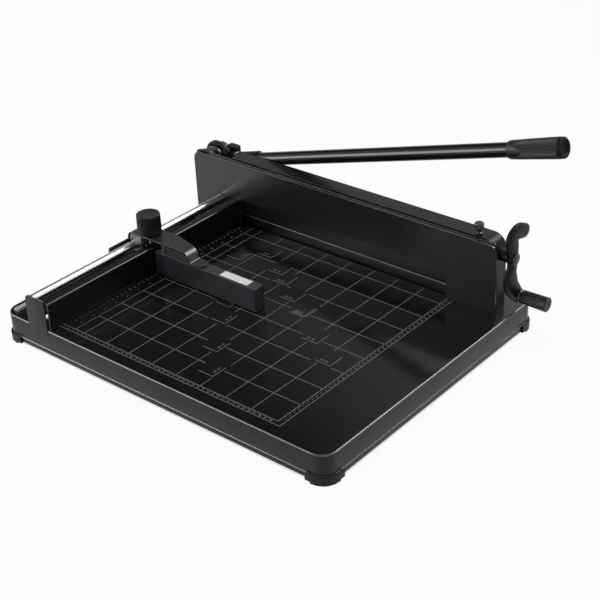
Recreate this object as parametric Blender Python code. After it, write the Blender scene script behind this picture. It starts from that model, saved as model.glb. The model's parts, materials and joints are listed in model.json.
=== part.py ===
"""Guillotine paper cutter for stacks of paper, with a screw press and a long lever.

Machine frame: X runs along the housing towards the crank, zero at the fence's zero line.
Y runs from the front edge of the printed grid towards the housing. Z is up, zero on the
table top. The whole machine hangs on one empty, which puts the middle of its outline over
the origin and its feet on the ground. All lengths are metres, all angles degrees.
"""
import math

import bmesh
import bpy
from mathutils import Matrix, Vector

# Clearances
GAP = 0.0003
RUNNING = 0.00025
LAYER = 0.0010

# Table and lower frame
TABLE_DEPTH = 0.535
TABLE_END = 0.030
TABLE_LEFT = 0.110
TABLE_FRONT = 0.030
TABLE_CORNER = 0.025
SHEET = 0.002
TRAY_DEPTH = 0.035
TRAY_EDGE = 0.0015
FRAME_SHADOW = 0.001
BAND_HEIGHT = 0.010
UPSTAND = 0.022
FOOT_WALL = 0.003
FOOT_SOLE = 0.0047
FOOT_STEP = 0.0025
FOOT_REACH = 0.012
FOOT_SOLE_REACH = 0.003
FOOT_WIDTH = 0.022

# Upright tab, rod and fence
TAB_LEFT = -0.048
TAB_WIDTH = 0.045
TAB_HEIGHT = 0.052
TAB_CORNER = 0.012
TAB_NOTCH = 0.003
TAB_NOTCH_DEPTH = 0.009
ROD_X = -0.038
ROD_Z = 0.0425
ROD_RADIUS = 0.008
FENCE_FACE = 0.004
FENCE_WIDTH = 0.0135
FENCE_HEIGHT = 0.049
FENCE_SHEET = 0.0025

# Stop carriage
BLOCK_FRONT = 0.2040
BLOCK_DEPTH = 0.0225
BLOCK_HEIGHT = 0.042
BLOCK_LEFT = 0.008
BLOCK_RIGHT = 0.230
TABLE_CLEARANCE = 0.001
SADDLE_SHEET = 0.003
SADDLE_TOP = 0.063
SADDLE_DEPTH = 0.037
SADDLE_BEND = 0.011
SADDLE_CREST = 0.016
SADDLE_TOE = 0.006
SADDLE_LEG_DROP = 0.024
SADDLE_STEP_X = 0.080
SADDLE_STEP_RUN = 0.010
SADDLE_END_X = 0.115
TAPER_START_X = 0.020
TONGUE_HEIGHT = 0.010
TONGUE_REACH = 0.046
GUIDE_WALL = 0.0055
KNOB_X = -0.0190
KNOB_RADIUS = 0.0208
KNOB_TOP_RADIUS = 0.0202
KNOB_HEIGHT = 0.035
KNOB_GROOVES = 30
KNOB_GROOVE_DEPTH = 0.0007
STUD_RADIUS = 0.0035
CLAMP_NUT_HEIGHT = 0.007
CLAMP_NUT_LENGTH = 0.026
SPACER_RADIUS = 0.005
SPACER_INSET = 0.010
STOP_SCREW_RADIUS = 0.0025

# Housing
HOUSING_INSET = 0.084
PLATE_SHEET = 0.003
PLATE_INSET = 0.010
PLATE_OVERHANG = 0.008
PLATE_HEIGHT = 0.1195
PLATE_CORNER = 0.014
WINDOW_LEFT = 0.005
WINDOW_LENGTH = 0.441
WINDOW_HEIGHT = 0.050
WINDOW_CORNER = 0.004
REAR_SHEET = 0.005
REAR_DROP = 0.0015
REAR_WINDOW_EXTRA = 0.006
COVER_SHEET = 0.0015
COVER_RISE = 0.0025
COVER_LEFT = -0.018
HOUSING_END = 0.084
COVER_FRONT_GAP = 0.0080
COVER_BEND = 0.022
COVER_RELIEF = 0.036
LEFT_BLOCK_WIDTH = 0.034
RIGHT_BLOCK_WIDTH = 0.017
BEARING_LENGTH = 0.024
BLOCK_CLEAR_TOP = 0.004
BOLT_HEAD_RADIUS = 0.007
BOLT_HEAD_HEIGHT = 0.005
SCREW_RADIUS = 0.0025
SCREW_HEAD_RADIUS = 0.0042
SCREW_HEAD_HEIGHT = 0.0022

# Press
DRAW_SHEET = 0.005
DRAW_LEFT = 0.022
DRAW_FOOT = 0.0515
DRAW_DROP = 0.005
SLOT_MARGIN = 0.0075
CLAMP_SHEET = 0.010
CLAMP_REST = 0.004
CLAMP_FOOT_TOP = 0.047
CLAMP_TOP = 0.070
CLAMP_UPPER_LEFT = 0.040
CLAMP_UPPER_INSET = 0.048
CLAMP_LIP = 0.0025
CLAMP_PIN_RADIUS = 0.005
CLAMP_PIN_INSET = 0.040
CLAMP_PIN_Z = 0.062
TONGUE_SHEET = 0.004
TONGUE_LENGTH = 0.004
POST_WIDTH = 0.011
POST_GROOVE = 0.0046
GUIDE_STUD_RADIUS = 0.004
GUIDE_STUD_Z = 0.085
NUT_LENGTH = 0.020
NUT_INSET = 0.030
NUT_HALF = 0.0085
NUT_BACK = 0.0063

# Crank
SPINDLE_SETBACK = 0.008
SPINDLE_DROP = 0.021
SPINDLE_RADIUS = 0.006
THREAD_RADIUS = 0.0045
COLLAR_RADIUS = 0.0065
COLLAR_LENGTH = 0.006
BUSH_RADIUS = 0.0092
BUSH_LENGTH = 0.018
BUSH_FLANGE = 0.0035
BUSH_FLANGE_RADIUS = 0.0118
CRANK_SHEET = 0.010
CRANK_HUB_RADIUS = 0.0125
CRANK_HUB_LENGTH = 0.012
CRANK_TIP_Y = 0.0305
CRANK_TIP_Z = 0.0355
CRANK_CROWN_Y = 0.012
CRANK_CROWN_Z = 0.042
CRANK_SHOULDER_Y = -0.003
CRANK_SHOULDER_Z = 0.034
CRANK_NECK_Y = -0.002
CRANK_NECK_Z = 0.019
CRANK_WAIST_Y = -0.002
CRANK_WAIST_Z = -0.015
CRANK_BELLY_Y = -0.0065
CRANK_BELLY_Z = -0.032
CRANK_KNEE_Y = 0.001
CRANK_KNEE_Z = -0.052
GRIP_Y = 0.022
GRIP_Z = -0.0755
CRANK_TIP_HALF = 0.0115
CRANK_CROWN_HALF = 0.0120
CRANK_SHOULDER_HALF = 0.0130
CRANK_NECK_HALF = 0.0135
CRANK_HUB_HALF = 0.0120
CRANK_WAIST_HALF = 0.0090
CRANK_BELLY_HALF = 0.0140
CRANK_KNEE_HALF = 0.0125
CRANK_BOSS_HALF = 0.0110
GRIP_LENGTH = 0.0465
GRIP_ROOT_RADIUS = 0.0102
GRIP_END_RADIUS = 0.0112
GRIP_PIN_RADIUS = 0.0040
GRIP_WASHER = 0.0015
GRIP_GROOVES = 16
GRIP_GROOVE_DEPTH = 0.0008

# Spindle lock screw
LOCK_INSET = 0.0365
LOCK_RADIUS = 0.0030
LOCK_NECK_RADIUS = 0.0036
LOCK_COLLAR_RADIUS = 0.0055
LOCK_COLLAR_HEIGHT = 0.0025
LOCK_NECK_HEIGHT = 0.0100
LOCK_HEAD_RADIUS = 0.0078
LOCK_HEAD_HEIGHT = 0.0075
LOCK_DEPTH = 0.012

# Lever
PIVOT_INSET = 0.016
PIVOT_DROP = 0.0215
PIVOT_RADIUS = 0.008
HUB_RADIUS = 0.0240
HUB_FACE = 0.001
ARM_SHEET = 0.012
ARM_INSET = 0.002
LEVER_ANGLE = 16.1
LEVER_OFFSET = -0.0149
TUBE_RADIUS = 0.012
TUBE_WALL = 0.002
TUBE_START = 0.062
SOCKET_WALL = 0.0035
SOCKET_START = 0.056
SOCKET_END = 0.092
GRIP_REACH = 0.7206
LEVER_GRIP_LENGTH = 0.089
LEVER_GRIP_COLLAR = 0.0149
LEVER_GRIP_END = 0.0166
LEVER_GRIP_RIBS = 24
END_CAP_LENGTH = 0.006
END_CAP_RIM_SHARE = 0.92
ARM_BOLT_RADIUS = 0.005
ARM_BOLT_HEAD = 0.0075
ARM_BOLT_X = 0.027
ARM_BOLT_Z = 0.016
ARM_BOLT_PITCH = 0.0165
BRACKET_SHEET = 0.006
BRACKET_FOOT = 0.024
BRACKET_HUB = 0.020

# Blade group
SWING_RADIUS = 0.066
SWING_REST = 50.0
DRIVE_PIN_RADIUS = 0.006
DRIVE_BOSS = 0.013
BLADE_SHEET = 0.004
BLADE_OVERRUN_LEFT = 0.015
BLADE_OVERRUN_RIGHT = 0.020
BLADE_OVERLAP = 0.010
BLADE_BEVEL = 0.009
BLADE_EDGE = 0.0004
CARRIER_SHEET = 0.008
CARRIER_BELOW_PIN = 0.0194
CARRIER_ABOVE_PIN = 0.0146
CARRIER_END = 0.011
BLADE_SCREWS = 3
BLADE_SCREW_INSET = 0.030
LINK_SHEET = 0.007
LINK_END = 0.0105
LINK_INSET = 0.0184
STICK_WIDTH = 0.010
STICK_HEIGHT = 0.008
STICK_SINK = 0.0002
STICK_OVERRUN = 0.011
CHANNEL_SHEET = 0.0015

# Facet counts
ROUND = 24
SMALL_ROUND = 16
CORNER = 5

# Levels and layers that follow from the sizes
TABLE_BACK = TABLE_DEPTH - TABLE_FRONT
PLATE_Y = TABLE_BACK - HOUSING_INSET
WINDOW_RIGHT = WINDOW_LEFT + WINDOW_LENGTH
COVER_RIGHT = WINDOW_RIGHT + HOUSING_END
PLATE_LEFT = PLATE_INSET - TABLE_LEFT
PLATE_RIGHT = COVER_RIGHT + PLATE_OVERHANG
PIVOT_X = PLATE_LEFT + PIVOT_INSET
PIVOT_Z = PLATE_HEIGHT - PIVOT_DROP
SPINDLE_Z = PLATE_HEIGHT - SPINDLE_DROP
REAR_TOP = PLATE_HEIGHT - REAR_DROP
COVER_TOP = PLATE_HEIGHT + COVER_RISE
DRAW_TOP = PLATE_HEIGHT - DRAW_DROP
CLAMP_LIFT = DRAW_TOP - CLAMP_PIN_RADIUS - SLOT_MARGIN - CLAMP_PIN_Z
POST_TOP = CLAMP_FOOT_TOP + CLAMP_LIFT + LAYER
TABLE_RIGHT = COVER_RIGHT + TABLE_END
CLAMP_UPPER_RIGHT = WINDOW_RIGHT - CLAMP_UPPER_INSET
NUT_LEFT = WINDOW_RIGHT - NUT_INSET
LOCK_X = COVER_RIGHT - LOCK_INSET
LINK_PIVOT_X = WINDOW_RIGHT - LINK_INSET
BLADE_LEFT = WINDOW_LEFT - BLADE_OVERRUN_LEFT
BLADE_RIGHT = WINDOW_RIGHT + BLADE_OVERRUN_RIGHT
GRIP_START = GRIP_REACH - END_CAP_LENGTH - LEVER_GRIP_LENGTH
BAND_TOP = -TRAY_DEPTH - FRAME_SHADOW
BAND_FOOT = BAND_TOP - BAND_HEIGHT
GROUND = BAND_FOOT - GAP - FOOT_SOLE
PLATE_BACK = PLATE_Y + PLATE_SHEET
DRAW_FRONT = PLATE_BACK + LAYER
DRAW_BACK = DRAW_FRONT + DRAW_SHEET
CLAMP_FRONT = DRAW_BACK + LAYER
CLAMP_BACK = CLAMP_FRONT + CLAMP_SHEET
SPINDLE_Y = CLAMP_FRONT + SPINDLE_SETBACK
BLADE_FRONT = CLAMP_BACK + LAYER
BLADE_BACK = BLADE_FRONT + BLADE_SHEET
CARRIER_FRONT = BLADE_BACK + GAP
CARRIER_BACK = CARRIER_FRONT + CARRIER_SHEET
REAR_FRONT = CARRIER_BACK + LAYER
REAR_BACK = REAR_FRONT + REAR_SHEET
HUB_FRONT = REAR_BACK + HUB_FACE
ARM_FRONT = HUB_FRONT + ARM_INSET
ARM_BACK = ARM_FRONT + ARM_SHEET
HUB_BACK = ARM_BACK + ARM_INSET
BRACKET_FRONT = HUB_BACK + HUB_FACE
BRACKET_BACK = BRACKET_FRONT + BRACKET_SHEET
TUBE_Y = REAR_BACK + LAYER + TUBE_RADIUS + SOCKET_WALL
COVER_FRONT = PLATE_BACK + COVER_FRONT_GAP
COVER_BACK = REAR_BACK + GAP + COVER_SHEET
RIGHT_BLOCK_RIGHT = COVER_RIGHT - COVER_SHEET - LAYER
RIGHT_BLOCK_LEFT = RIGHT_BLOCK_RIGHT - RIGHT_BLOCK_WIDTH
LEFT_BLOCK_LEFT = PLATE_LEFT - BLOCK_CLEAR_TOP
BLOCK_TOP = REAR_TOP - BLOCK_CLEAR_TOP
DRIVE_X = SWING_RADIUS * math.cos(math.radians(SWING_REST))
DRIVE_Z = -SWING_RADIUS * math.sin(math.radians(SWING_REST))
CARRIER_FOOT = PIVOT_Z + DRIVE_Z - CARRIER_BELOW_PIN
CARRIER_TOP = PIVOT_Z + DRIVE_Z + CARRIER_ABOVE_PIN
BLADE_HEIGHT = CARRIER_FOOT + BLADE_OVERLAP - GAP
SADDLE_UNDER = SADDLE_TOP - SADDLE_SHEET
BLOCK_TOP_Z = TABLE_CLEARANCE + BLOCK_HEIGHT
GUIDE_HALF = ROD_RADIUS + RUNNING + GUIDE_WALL
SADDLE_LEG_X = ROD_X - GUIDE_HALF - GAP - SADDLE_SHEET
SADDLE_BACK = BLOCK_FRONT + SADDLE_DEPTH
KNOB_Y = BLOCK_FRONT + SADDLE_DEPTH / 2
SPINDLE_LEFT = CLAMP_UPPER_RIGHT + TONGUE_LENGTH * 2
BEARING_LEFT = RIGHT_BLOCK_LEFT - BEARING_LENGTH
CRANK_X = COVER_RIGHT + GAP + BUSH_LENGTH + LAYER
CRANK_MID_X = CRANK_X + CRANK_HUB_LENGTH / 2
CRANK_FACE_X = CRANK_MID_X + CRANK_SHEET / 2
GRIP_X = CRANK_FACE_X + GAP + GRIP_WASHER + GAP
TUBE_ANGLE = math.radians(LEVER_ANGLE)
LEVER_END_X = PIVOT_X + GRIP_REACH * math.cos(TUBE_ANGLE) - LEVER_OFFSET * math.sin(TUBE_ANGLE)
MACHINE_LEFT = -TABLE_LEFT - GAP - FOOT_WALL
MACHINE_RIGHT = LEVER_END_X + LEVER_GRIP_END * END_CAP_RIM_SHARE * math.sin(TUBE_ANGLE)
MACHINE_FRONT = -TABLE_FRONT - GAP - FOOT_WALL
MACHINE_BACK = TABLE_BACK + GAP + FOOT_WALL
MIDDLE_X = (MACHINE_LEFT + MACHINE_RIGHT) / 2
MIDDLE_Y = (MACHINE_FRONT + MACHINE_BACK) / 2


def clear_scene():
    """Start from an empty scene."""
    for old in list(bpy.data.objects):
        bpy.data.objects.remove(old, do_unlink=True)


def material(name, colour, roughness, metallic):
    """A plain material with one colour, roughness and metallic value."""
    made = bpy.data.materials.new(name)
    made.use_nodes = True
    shader = made.node_tree.nodes["Principled BSDF"]
    shader.inputs["Base Color"].default_value = (*colour, 1.0)
    shader.inputs["Roughness"].default_value = roughness
    shader.inputs["Metallic"].default_value = metallic
    return made


def empty(name, location, parent=None):
    """An empty that carries the pieces of one body, on the axis where the body moves."""
    made = bpy.data.objects.new(name, None)
    made.location = location
    made.parent = parent
    bpy.context.collection.objects.link(made)
    return made


def add(name, form, look, parent, location=(0, 0, 0), rotation=(0, 0, 0)):
    """Turn a bmesh into a named object with one material, hung on its parent."""
    bmesh.ops.recalc_face_normals(form, faces=form.faces)
    mesh = bpy.data.meshes.new(name)
    form.to_mesh(mesh)
    form.free()
    made = bpy.data.objects.new(name, mesh)
    made.data.materials.append(look)
    made.parent = parent
    made.location = location
    made.rotation_euler = rotation
    bpy.context.collection.objects.link(made)
    return made


def cutter(form, target, operation="DIFFERENCE"):
    """Cut a shape out of an object, or join it on, with a hidden helper object."""
    helper = add(target.name + "_helper", form, target.data.materials[0], target.parent)
    helper.location = target.location
    helper.rotation_euler = target.rotation_euler
    helper.hide_render = True
    helper.display_type = "WIRE"
    change = target.modifiers.new(operation.lower(), "BOOLEAN")
    change.operation = operation
    change.solver = "EXACT"
    change.object = helper
    return helper


def soften(target, width, segments=2, angle=40.0):
    """Round the sharp edges of an object."""
    change = target.modifiers.new("soften", "BEVEL")
    change.width = width
    change.segments = segments
    change.limit_method = "ANGLE"
    change.angle_limit = math.radians(angle)
    change.use_clamp_overlap = True
    return target


def smooth(target, angle=35.0):
    """Shade a round piece smooth, with its sharp edges kept."""
    target.data.shade_smooth()
    target.data.set_sharp_from_angle(angle=math.radians(angle))
    return target


def arc(centre, radius, start, end, steps):
    """Points on an arc in a plane, both ends included, from one angle to another."""
    points = []
    for step in range(steps + 1):
        angle = math.radians(start + (end - start) * step / steps)
        points.append((centre[0] + radius * math.cos(angle), centre[1] + radius * math.sin(angle)))
    return points


def disc(centre, radius, sides):
    """The corners of a regular polygon whose flats touch the circle from inside."""
    points = []
    for step in range(sides):
        angle = 2 * math.pi * step / sides
        points.append((centre[0] + radius * math.cos(angle), centre[1] + radius * math.sin(angle)))
    return points


def box_outline(low, high, radius=0.0, corners=(True, True, True, True)):
    """A rectangle, counted from its lower left corner, with the chosen corners rounded."""
    anchors = [(low[0], low[1], 180), (high[0], low[1], 270), (high[0], high[1], 0), (low[0], high[1], 90)]
    points = []
    for (x, y, start), rounded in zip(anchors, corners):
        if radius == 0.0 or not rounded:
            points.append((x, y))
            continue
        inner_x = x + radius if x == low[0] else x - radius
        inner_y = y + radius if y == low[1] else y - radius
        points.extend(arc((inner_x, inner_y), radius, start, start + 90, CORNER))
    return points


def rounded_path(points, radii, steps=CORNER):
    """A closed outline whose corners are rounded, each by its own radius."""
    outline = []
    count = len(points)
    for index, (corner, radius) in enumerate(zip(points, radii)):
        here = Vector(corner)
        if radius == 0.0:
            outline.append((here.x, here.y))
            continue
        back = (Vector(points[index - 1]) - here).normalized()
        ahead = (Vector(points[(index + 1) % count]) - here).normalized()
        half = back.angle(ahead) / 2
        reach = radius / math.tan(half)
        centre = here + (back + ahead).normalized() * (radius / math.sin(half))
        start = here + back * reach - centre
        end = here + ahead * reach - centre
        turn = start.angle_signed(end)
        for step in range(steps + 1):
            spot = centre + Matrix.Rotation(-turn * step / steps, 2) @ start
            outline.append((spot.x, spot.y))
    return outline


def stroke(points, halves, steps=5, cap=8):
    """An outline of changing width round a smooth line through the given points."""
    centre = []
    width = []
    last = len(points) - 1
    for index in range(last):
        before = Vector(points[max(index - 1, 0)])
        here = Vector(points[index])
        there = Vector(points[index + 1])
        after = Vector(points[min(index + 2, last)])
        for step in range(steps):
            t = step / steps
            spot = (here * 2 + (there - before) * t
                    + (before * 2 - here * 5 + there * 4 - after) * t ** 2
                    + (here * 3 - before - there * 3 + after) * t ** 3) / 2
            centre.append(spot)
            ease = t * t * (3 - 2 * t)
            width.append(halves[index] + (halves[index + 1] - halves[index]) * ease)
    centre.append(Vector(points[last]))
    width.append(halves[last])
    one_side = []
    other_side = []
    for index, spot in enumerate(centre):
        ahead = centre[min(index + 1, len(centre) - 1)]
        behind = centre[max(index - 1, 0)]
        along = (ahead - behind).normalized()
        across = Vector((-along.y, along.x)) * width[index]
        one_side.append(tuple(spot + across))
        other_side.append(tuple(spot - across))
    start = (centre[1] - centre[0]).normalized()
    finish = (centre[-1] - centre[-2]).normalized()
    start_angle = math.degrees(math.atan2(start.y, start.x))
    finish_angle = math.degrees(math.atan2(finish.y, finish.x))
    end_cap = arc(tuple(centre[-1]), width[-1], finish_angle + 90, finish_angle - 90, cap)
    start_cap = arc(tuple(centre[0]), width[0], start_angle - 90, start_angle - 270, cap)
    return one_side[:-1] + end_cap + list(reversed(other_side))[1:-1] + start_cap[:-1]


def slab(outline, low, high, normal):
    """A flat piece: an outline pushed from one level to another along the given axis."""
    form = bmesh.new()
    levels = []
    for level in (low, high):
        ring = []
        for first, second in outline:
            if normal == "X":
                spot = (level, first, second)
            elif normal == "Y":
                spot = (first, level, second)
            else:
                spot = (first, second, level)
            ring.append(form.verts.new(spot))
        levels.append(ring)
    form.faces.new(levels[0])
    form.faces.new(levels[1])
    for index in range(len(outline)):
        ahead = (index + 1) % len(outline)
        form.faces.new((levels[0][index], levels[0][ahead], levels[1][ahead], levels[1][index]))
    return form


def turned(profile, normal, sides=ROUND, ribs=0, rib_depth=0.0, ribbed=()):
    """A turned piece: (radius, level) pairs swept round an axis, closed at both ends.

    Where ribs are asked for, the rings whose numbers are listed dip between the ribs.
    """
    form = bmesh.new()
    rings = []
    for number, (radius, level) in enumerate(profile):
        ring = []
        for step in range(sides):
            angle = 2 * math.pi * step / sides
            reach = radius
            if ribs and number in ribbed:
                reach -= rib_depth * (1 - math.cos(angle * ribs)) / 2
            first = reach * math.cos(angle)
            second = reach * math.sin(angle)
            if normal == "X":
                spot = (level, first, second)
            elif normal == "Y":
                spot = (first, level, second)
            else:
                spot = (first, second, level)
            ring.append(form.verts.new(spot))
        rings.append(ring)
    form.faces.new(rings[0])
    form.faces.new(rings[-1])
    for one, other in zip(rings, rings[1:]):
        for step in range(sides):
            ahead = (step + 1) % sides
            form.faces.new((one[step], one[ahead], other[ahead], other[step]))
    return form


def moved(form, offset):
    """The same shape in another place."""
    bmesh.ops.translate(form, verts=form.verts, vec=offset)
    return form


def rim(sections):
    """A sheet-metal rim round the table: (inset, level) pairs swept round its outline."""
    form = bmesh.new()
    rings = []
    for inset, level in sections:
        low = (-TABLE_LEFT + inset, -TABLE_FRONT + inset)
        high = (TABLE_RIGHT - inset, TABLE_BACK - inset)
        outline = box_outline(low, high, TABLE_CORNER - inset)
        rings.append([form.verts.new((x, y, level)) for x, y in outline])
    return form, rings


def bridge(form, rings, closed):
    """Faces between neighbouring rings, and between the last and the first if closed."""
    pairs = list(zip(rings, rings[1:]))
    if closed:
        pairs.append((rings[-1], rings[0]))
    for one, other in pairs:
        for index in range(len(one)):
            ahead = (index + 1) % len(one)
            form.faces.new((one[index], one[ahead], other[ahead], other[index]))


def base_tray(machine, look):
    """Folded steel table with its flanges, the upright tab and the groove for the stick."""
    form, rings = rim([
        (SHEET, -SHEET),
        (SHEET, -TRAY_DEPTH),
        (0.0, -TRAY_DEPTH),
        (0.0, -TRAY_EDGE),
        (TRAY_EDGE * 0.3, -TRAY_EDGE * 0.3),
        (TRAY_EDGE, 0.0),
    ])
    bridge(form, rings, closed=False)
    form.faces.new(rings[0])
    form.faces.new(rings[-1])
    tray = add("base_tray", form, look, machine)
    hole = box_outline(
        (TAB_LEFT, -TABLE_FRONT - SHEET),
        (TAB_LEFT + TAB_WIDTH + TAB_NOTCH, -TABLE_FRONT + TAB_HEIGHT),
    )
    cutter(slab(hole, -TAB_NOTCH_DEPTH, SHEET, "Z"), tray)
    tab = box_outline(
        (TAB_LEFT, -TAB_NOTCH_DEPTH - SHEET),
        (TAB_LEFT + TAB_WIDTH, TAB_HEIGHT),
        TAB_CORNER,
        (False, False, False, True),
    )
    cutter(slab(tab, -TABLE_FRONT, -TABLE_FRONT + SHEET, "Y"), tray, "UNION")
    groove = box_outline(
        (BLADE_LEFT - GAP, STICK_FRONT - GAP),
        (BLADE_RIGHT + STICK_OVERRUN + GAP, STICK_FRONT + STICK_WIDTH + GAP),
    )
    cutter(slab(groove, -SHEET * 2, SHEET, "Z"), tray)
    return tray


def lower_frame(machine, look):
    """Perimeter rail under the tray: an outer band with an upstand inside the flange."""
    inside = SHEET + GAP
    form, rings = rim([
        (0.0, BAND_FOOT),
        (0.0, BAND_TOP),
        (inside, BAND_TOP),
        (inside, BAND_TOP + UPSTAND),
        (inside + SHEET, BAND_TOP + UPSTAND),
        (inside + SHEET, BAND_FOOT),
    ])
    bridge(form, rings, closed=True)
    return add("lower_frame", form, look, machine)


def corner_foot(name, machine, look, right, back):
    """Plastic foot that wraps one corner of the rail and carries it on a flat sole."""
    form, rings = rim([
        (-GAP - FOOT_WALL, GROUND),
        (-GAP - FOOT_WALL, BAND_TOP),
        (-GAP, BAND_TOP),
        (-GAP, BAND_FOOT - GAP),
        (FOOT_WIDTH, BAND_FOOT - GAP),
        (FOOT_WIDTH, GROUND),
    ])
    bridge(form, rings, closed=True)
    foot = add(name, form, look, machine)
    reach = TABLE_CORNER + FOOT_REACH
    whole = (-reach, reach)
    keep = corner_patch(right, back, whole, whole)
    cutter(slab(keep, GROUND - FOOT_REACH, BAND_TOP + FOOT_REACH, "Z"), foot, "INTERSECT")
    wide = (-reach * 2, reach * 2)
    beyond = (TABLE_CORNER + FOOT_SOLE_REACH, reach * 2)
    for along, across in ((beyond, wide), (wide, beyond)):
        step = corner_patch(right, back, along, across)
        cutter(slab(step, GROUND - FOOT_STEP, GROUND + FOOT_STEP, "Z"), foot)
    return foot


def corner_patch(right, back, along, across):
    """A rectangle at one corner of the table, its spans measured inward along X and Y."""
    xs = sorted(TABLE_RIGHT - span if right else span - TABLE_LEFT for span in along)
    ys = sorted(TABLE_BACK - span if back else span - TABLE_FRONT for span in across)
    return box_outline((xs[0], ys[0]), (xs[1], ys[1]))


def side_fence(machine, look):
    """Folded steel fence, open towards the rod, that the paper is squared against."""
    left = FENCE_FACE - FENCE_WIDTH
    bend = FENCE_SHEET * 1.4
    inner = bend - FENCE_SHEET
    outline = rounded_path([
        (left, GAP),
        (FENCE_FACE, GAP),
        (FENCE_FACE, FENCE_HEIGHT),
        (left, FENCE_HEIGHT),
        (left, FENCE_HEIGHT - FENCE_SHEET),
        (FENCE_FACE - FENCE_SHEET, FENCE_HEIGHT - FENCE_SHEET),
        (FENCE_FACE - FENCE_SHEET, GAP + FENCE_SHEET),
        (left, GAP + FENCE_SHEET),
    ], [0.0, bend, bend, 0.0, 0.0, inner, inner, 0.0], 4)
    front = -TABLE_FRONT + TAB_HEIGHT + LAYER
    low = -TABLE_FRONT + SHEET + GAP
    fence = add("side_fence", slab(outline, low, PLATE_Y - GAP, "Y"), look, machine)
    relief = box_outline((left - GAP, -GAP), (FENCE_FACE - FENCE_SHEET, FENCE_SHEET * 2))
    cutter(slab(relief, low - GAP, front, "Y"), fence)
    return fence


def guide_rod(machine, look):
    """Ground round rod between the tab and the front plate."""
    low = -TABLE_FRONT + SHEET + GAP
    high = PLATE_Y - GAP
    chamfer = ROD_RADIUS * 0.12
    form = turned([
        (ROD_RADIUS - chamfer, low),
        (ROD_RADIUS, low + chamfer),
        (ROD_RADIUS, high - chamfer),
        (ROD_RADIUS - chamfer, high),
    ], "Y")
    return smooth(add("guide_rod", form, look, machine, (ROD_X, 0, ROD_Z)))


def saddle(carriage, look):
    """Bent sheet: a leg outside the rod, a flat top, and a step down to the stop block."""
    under = BLOCK_TOP_Z + GAP
    step_x = SADDLE_STEP_X + SADDLE_STEP_RUN
    slope = math.atan2(SADDLE_UNDER - under, SADDLE_STEP_RUN)
    shift = SADDLE_SHEET / 2 * math.tan(slope / 2)
    bend = (SADDLE_BEND, SADDLE_BEND - SADDLE_SHEET)
    crest = (SADDLE_CREST, SADDLE_CREST - SADDLE_SHEET)
    toe = (SADDLE_TOE, SADDLE_TOE - SADDLE_SHEET)
    outline = rounded_path([
        (SADDLE_LEG_X, SADDLE_TOP - SADDLE_LEG_DROP),
        (SADDLE_LEG_X + SADDLE_SHEET, SADDLE_TOP - SADDLE_LEG_DROP),
        (SADDLE_LEG_X + SADDLE_SHEET, SADDLE_UNDER),
        (SADDLE_STEP_X - shift, SADDLE_UNDER),
        (step_x - shift, under),
        (SADDLE_END_X, under),
        (SADDLE_END_X, under + SADDLE_SHEET),
        (step_x + shift, under + SADDLE_SHEET),
        (SADDLE_STEP_X + shift, SADDLE_TOP),
        (SADDLE_LEG_X, SADDLE_TOP),
    ], [0, 0, bend[1], crest[1], toe[0], 0, 0, toe[1], crest[0], bend[0]], 5)
    form = slab(outline, BLOCK_FRONT, SADDLE_BACK, "Y")
    piece = add("carriage_saddle", form, look, carriage)
    narrow = BLOCK_FRONT + BLOCK_DEPTH
    plan = rounded_path([
        (SADDLE_LEG_X - SADDLE_SHEET, BLOCK_FRONT - SADDLE_SHEET),
        (SADDLE_STEP_X, BLOCK_FRONT),
        (SADDLE_END_X, BLOCK_FRONT),
        (SADDLE_END_X, narrow),
        (step_x, narrow),
        (TAPER_START_X, SADDLE_BACK + SADDLE_SHEET),
        (SADDLE_LEG_X - SADDLE_SHEET, SADDLE_BACK + SADDLE_SHEET),
    ], [0, 0, BLOCK_DEPTH * 0.45, BLOCK_DEPTH * 0.45, BLOCK_DEPTH, 0, 0])
    cutter(slab(plan, 0.0, SADDLE_TOP * 2, "Z"), piece, "INTERSECT")
    low = SADDLE_TOP - SADDLE_LEG_DROP
    tongue = box_outline(
        (BLOCK_FRONT - TONGUE_REACH, low),
        (SADDLE_BACK, low + TONGUE_HEIGHT),
        TONGUE_HEIGHT * 0.3,
        (True, False, False, True),
    )
    cutter(slab(tongue, SADDLE_LEG_X, SADDLE_LEG_X + SADDLE_SHEET, "X"), piece, "UNION")
    hole = disc((KNOB_X, KNOB_Y), STUD_RADIUS + RUNNING, SMALL_ROUND)
    cutter(slab(hole, SADDLE_UNDER - SADDLE_SHEET, SADDLE_TOP + SADDLE_SHEET, "Z"), piece)
    return piece


def guide_block(carriage, look):
    """Die-cast block with the running bore that rides on the rod."""
    edge = GUIDE_WALL * 0.5
    outline = rounded_path([
        (ROD_X - GUIDE_HALF, ROD_Z - GUIDE_HALF),
        (ROD_X + GUIDE_HALF, ROD_Z - GUIDE_HALF),
        (ROD_X + GUIDE_HALF, SADDLE_UNDER - GAP),
        (ROD_X - GUIDE_HALF, SADDLE_UNDER - GAP),
    ], [edge, edge, edge, SADDLE_BEND - SADDLE_SHEET])
    inset = SADDLE_SHEET * 0.5
    form = slab(outline, BLOCK_FRONT + inset, SADDLE_BACK - inset, "Y")
    piece = add("guide_block", form, look, carriage)
    bore = ROD_RADIUS + RUNNING
    hole = disc((ROD_X, ROD_Z), bore, ROUND)
    cutter(slab(hole, BLOCK_FRONT - inset, SADDLE_BACK + inset, "Y"), piece)
    return piece


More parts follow.
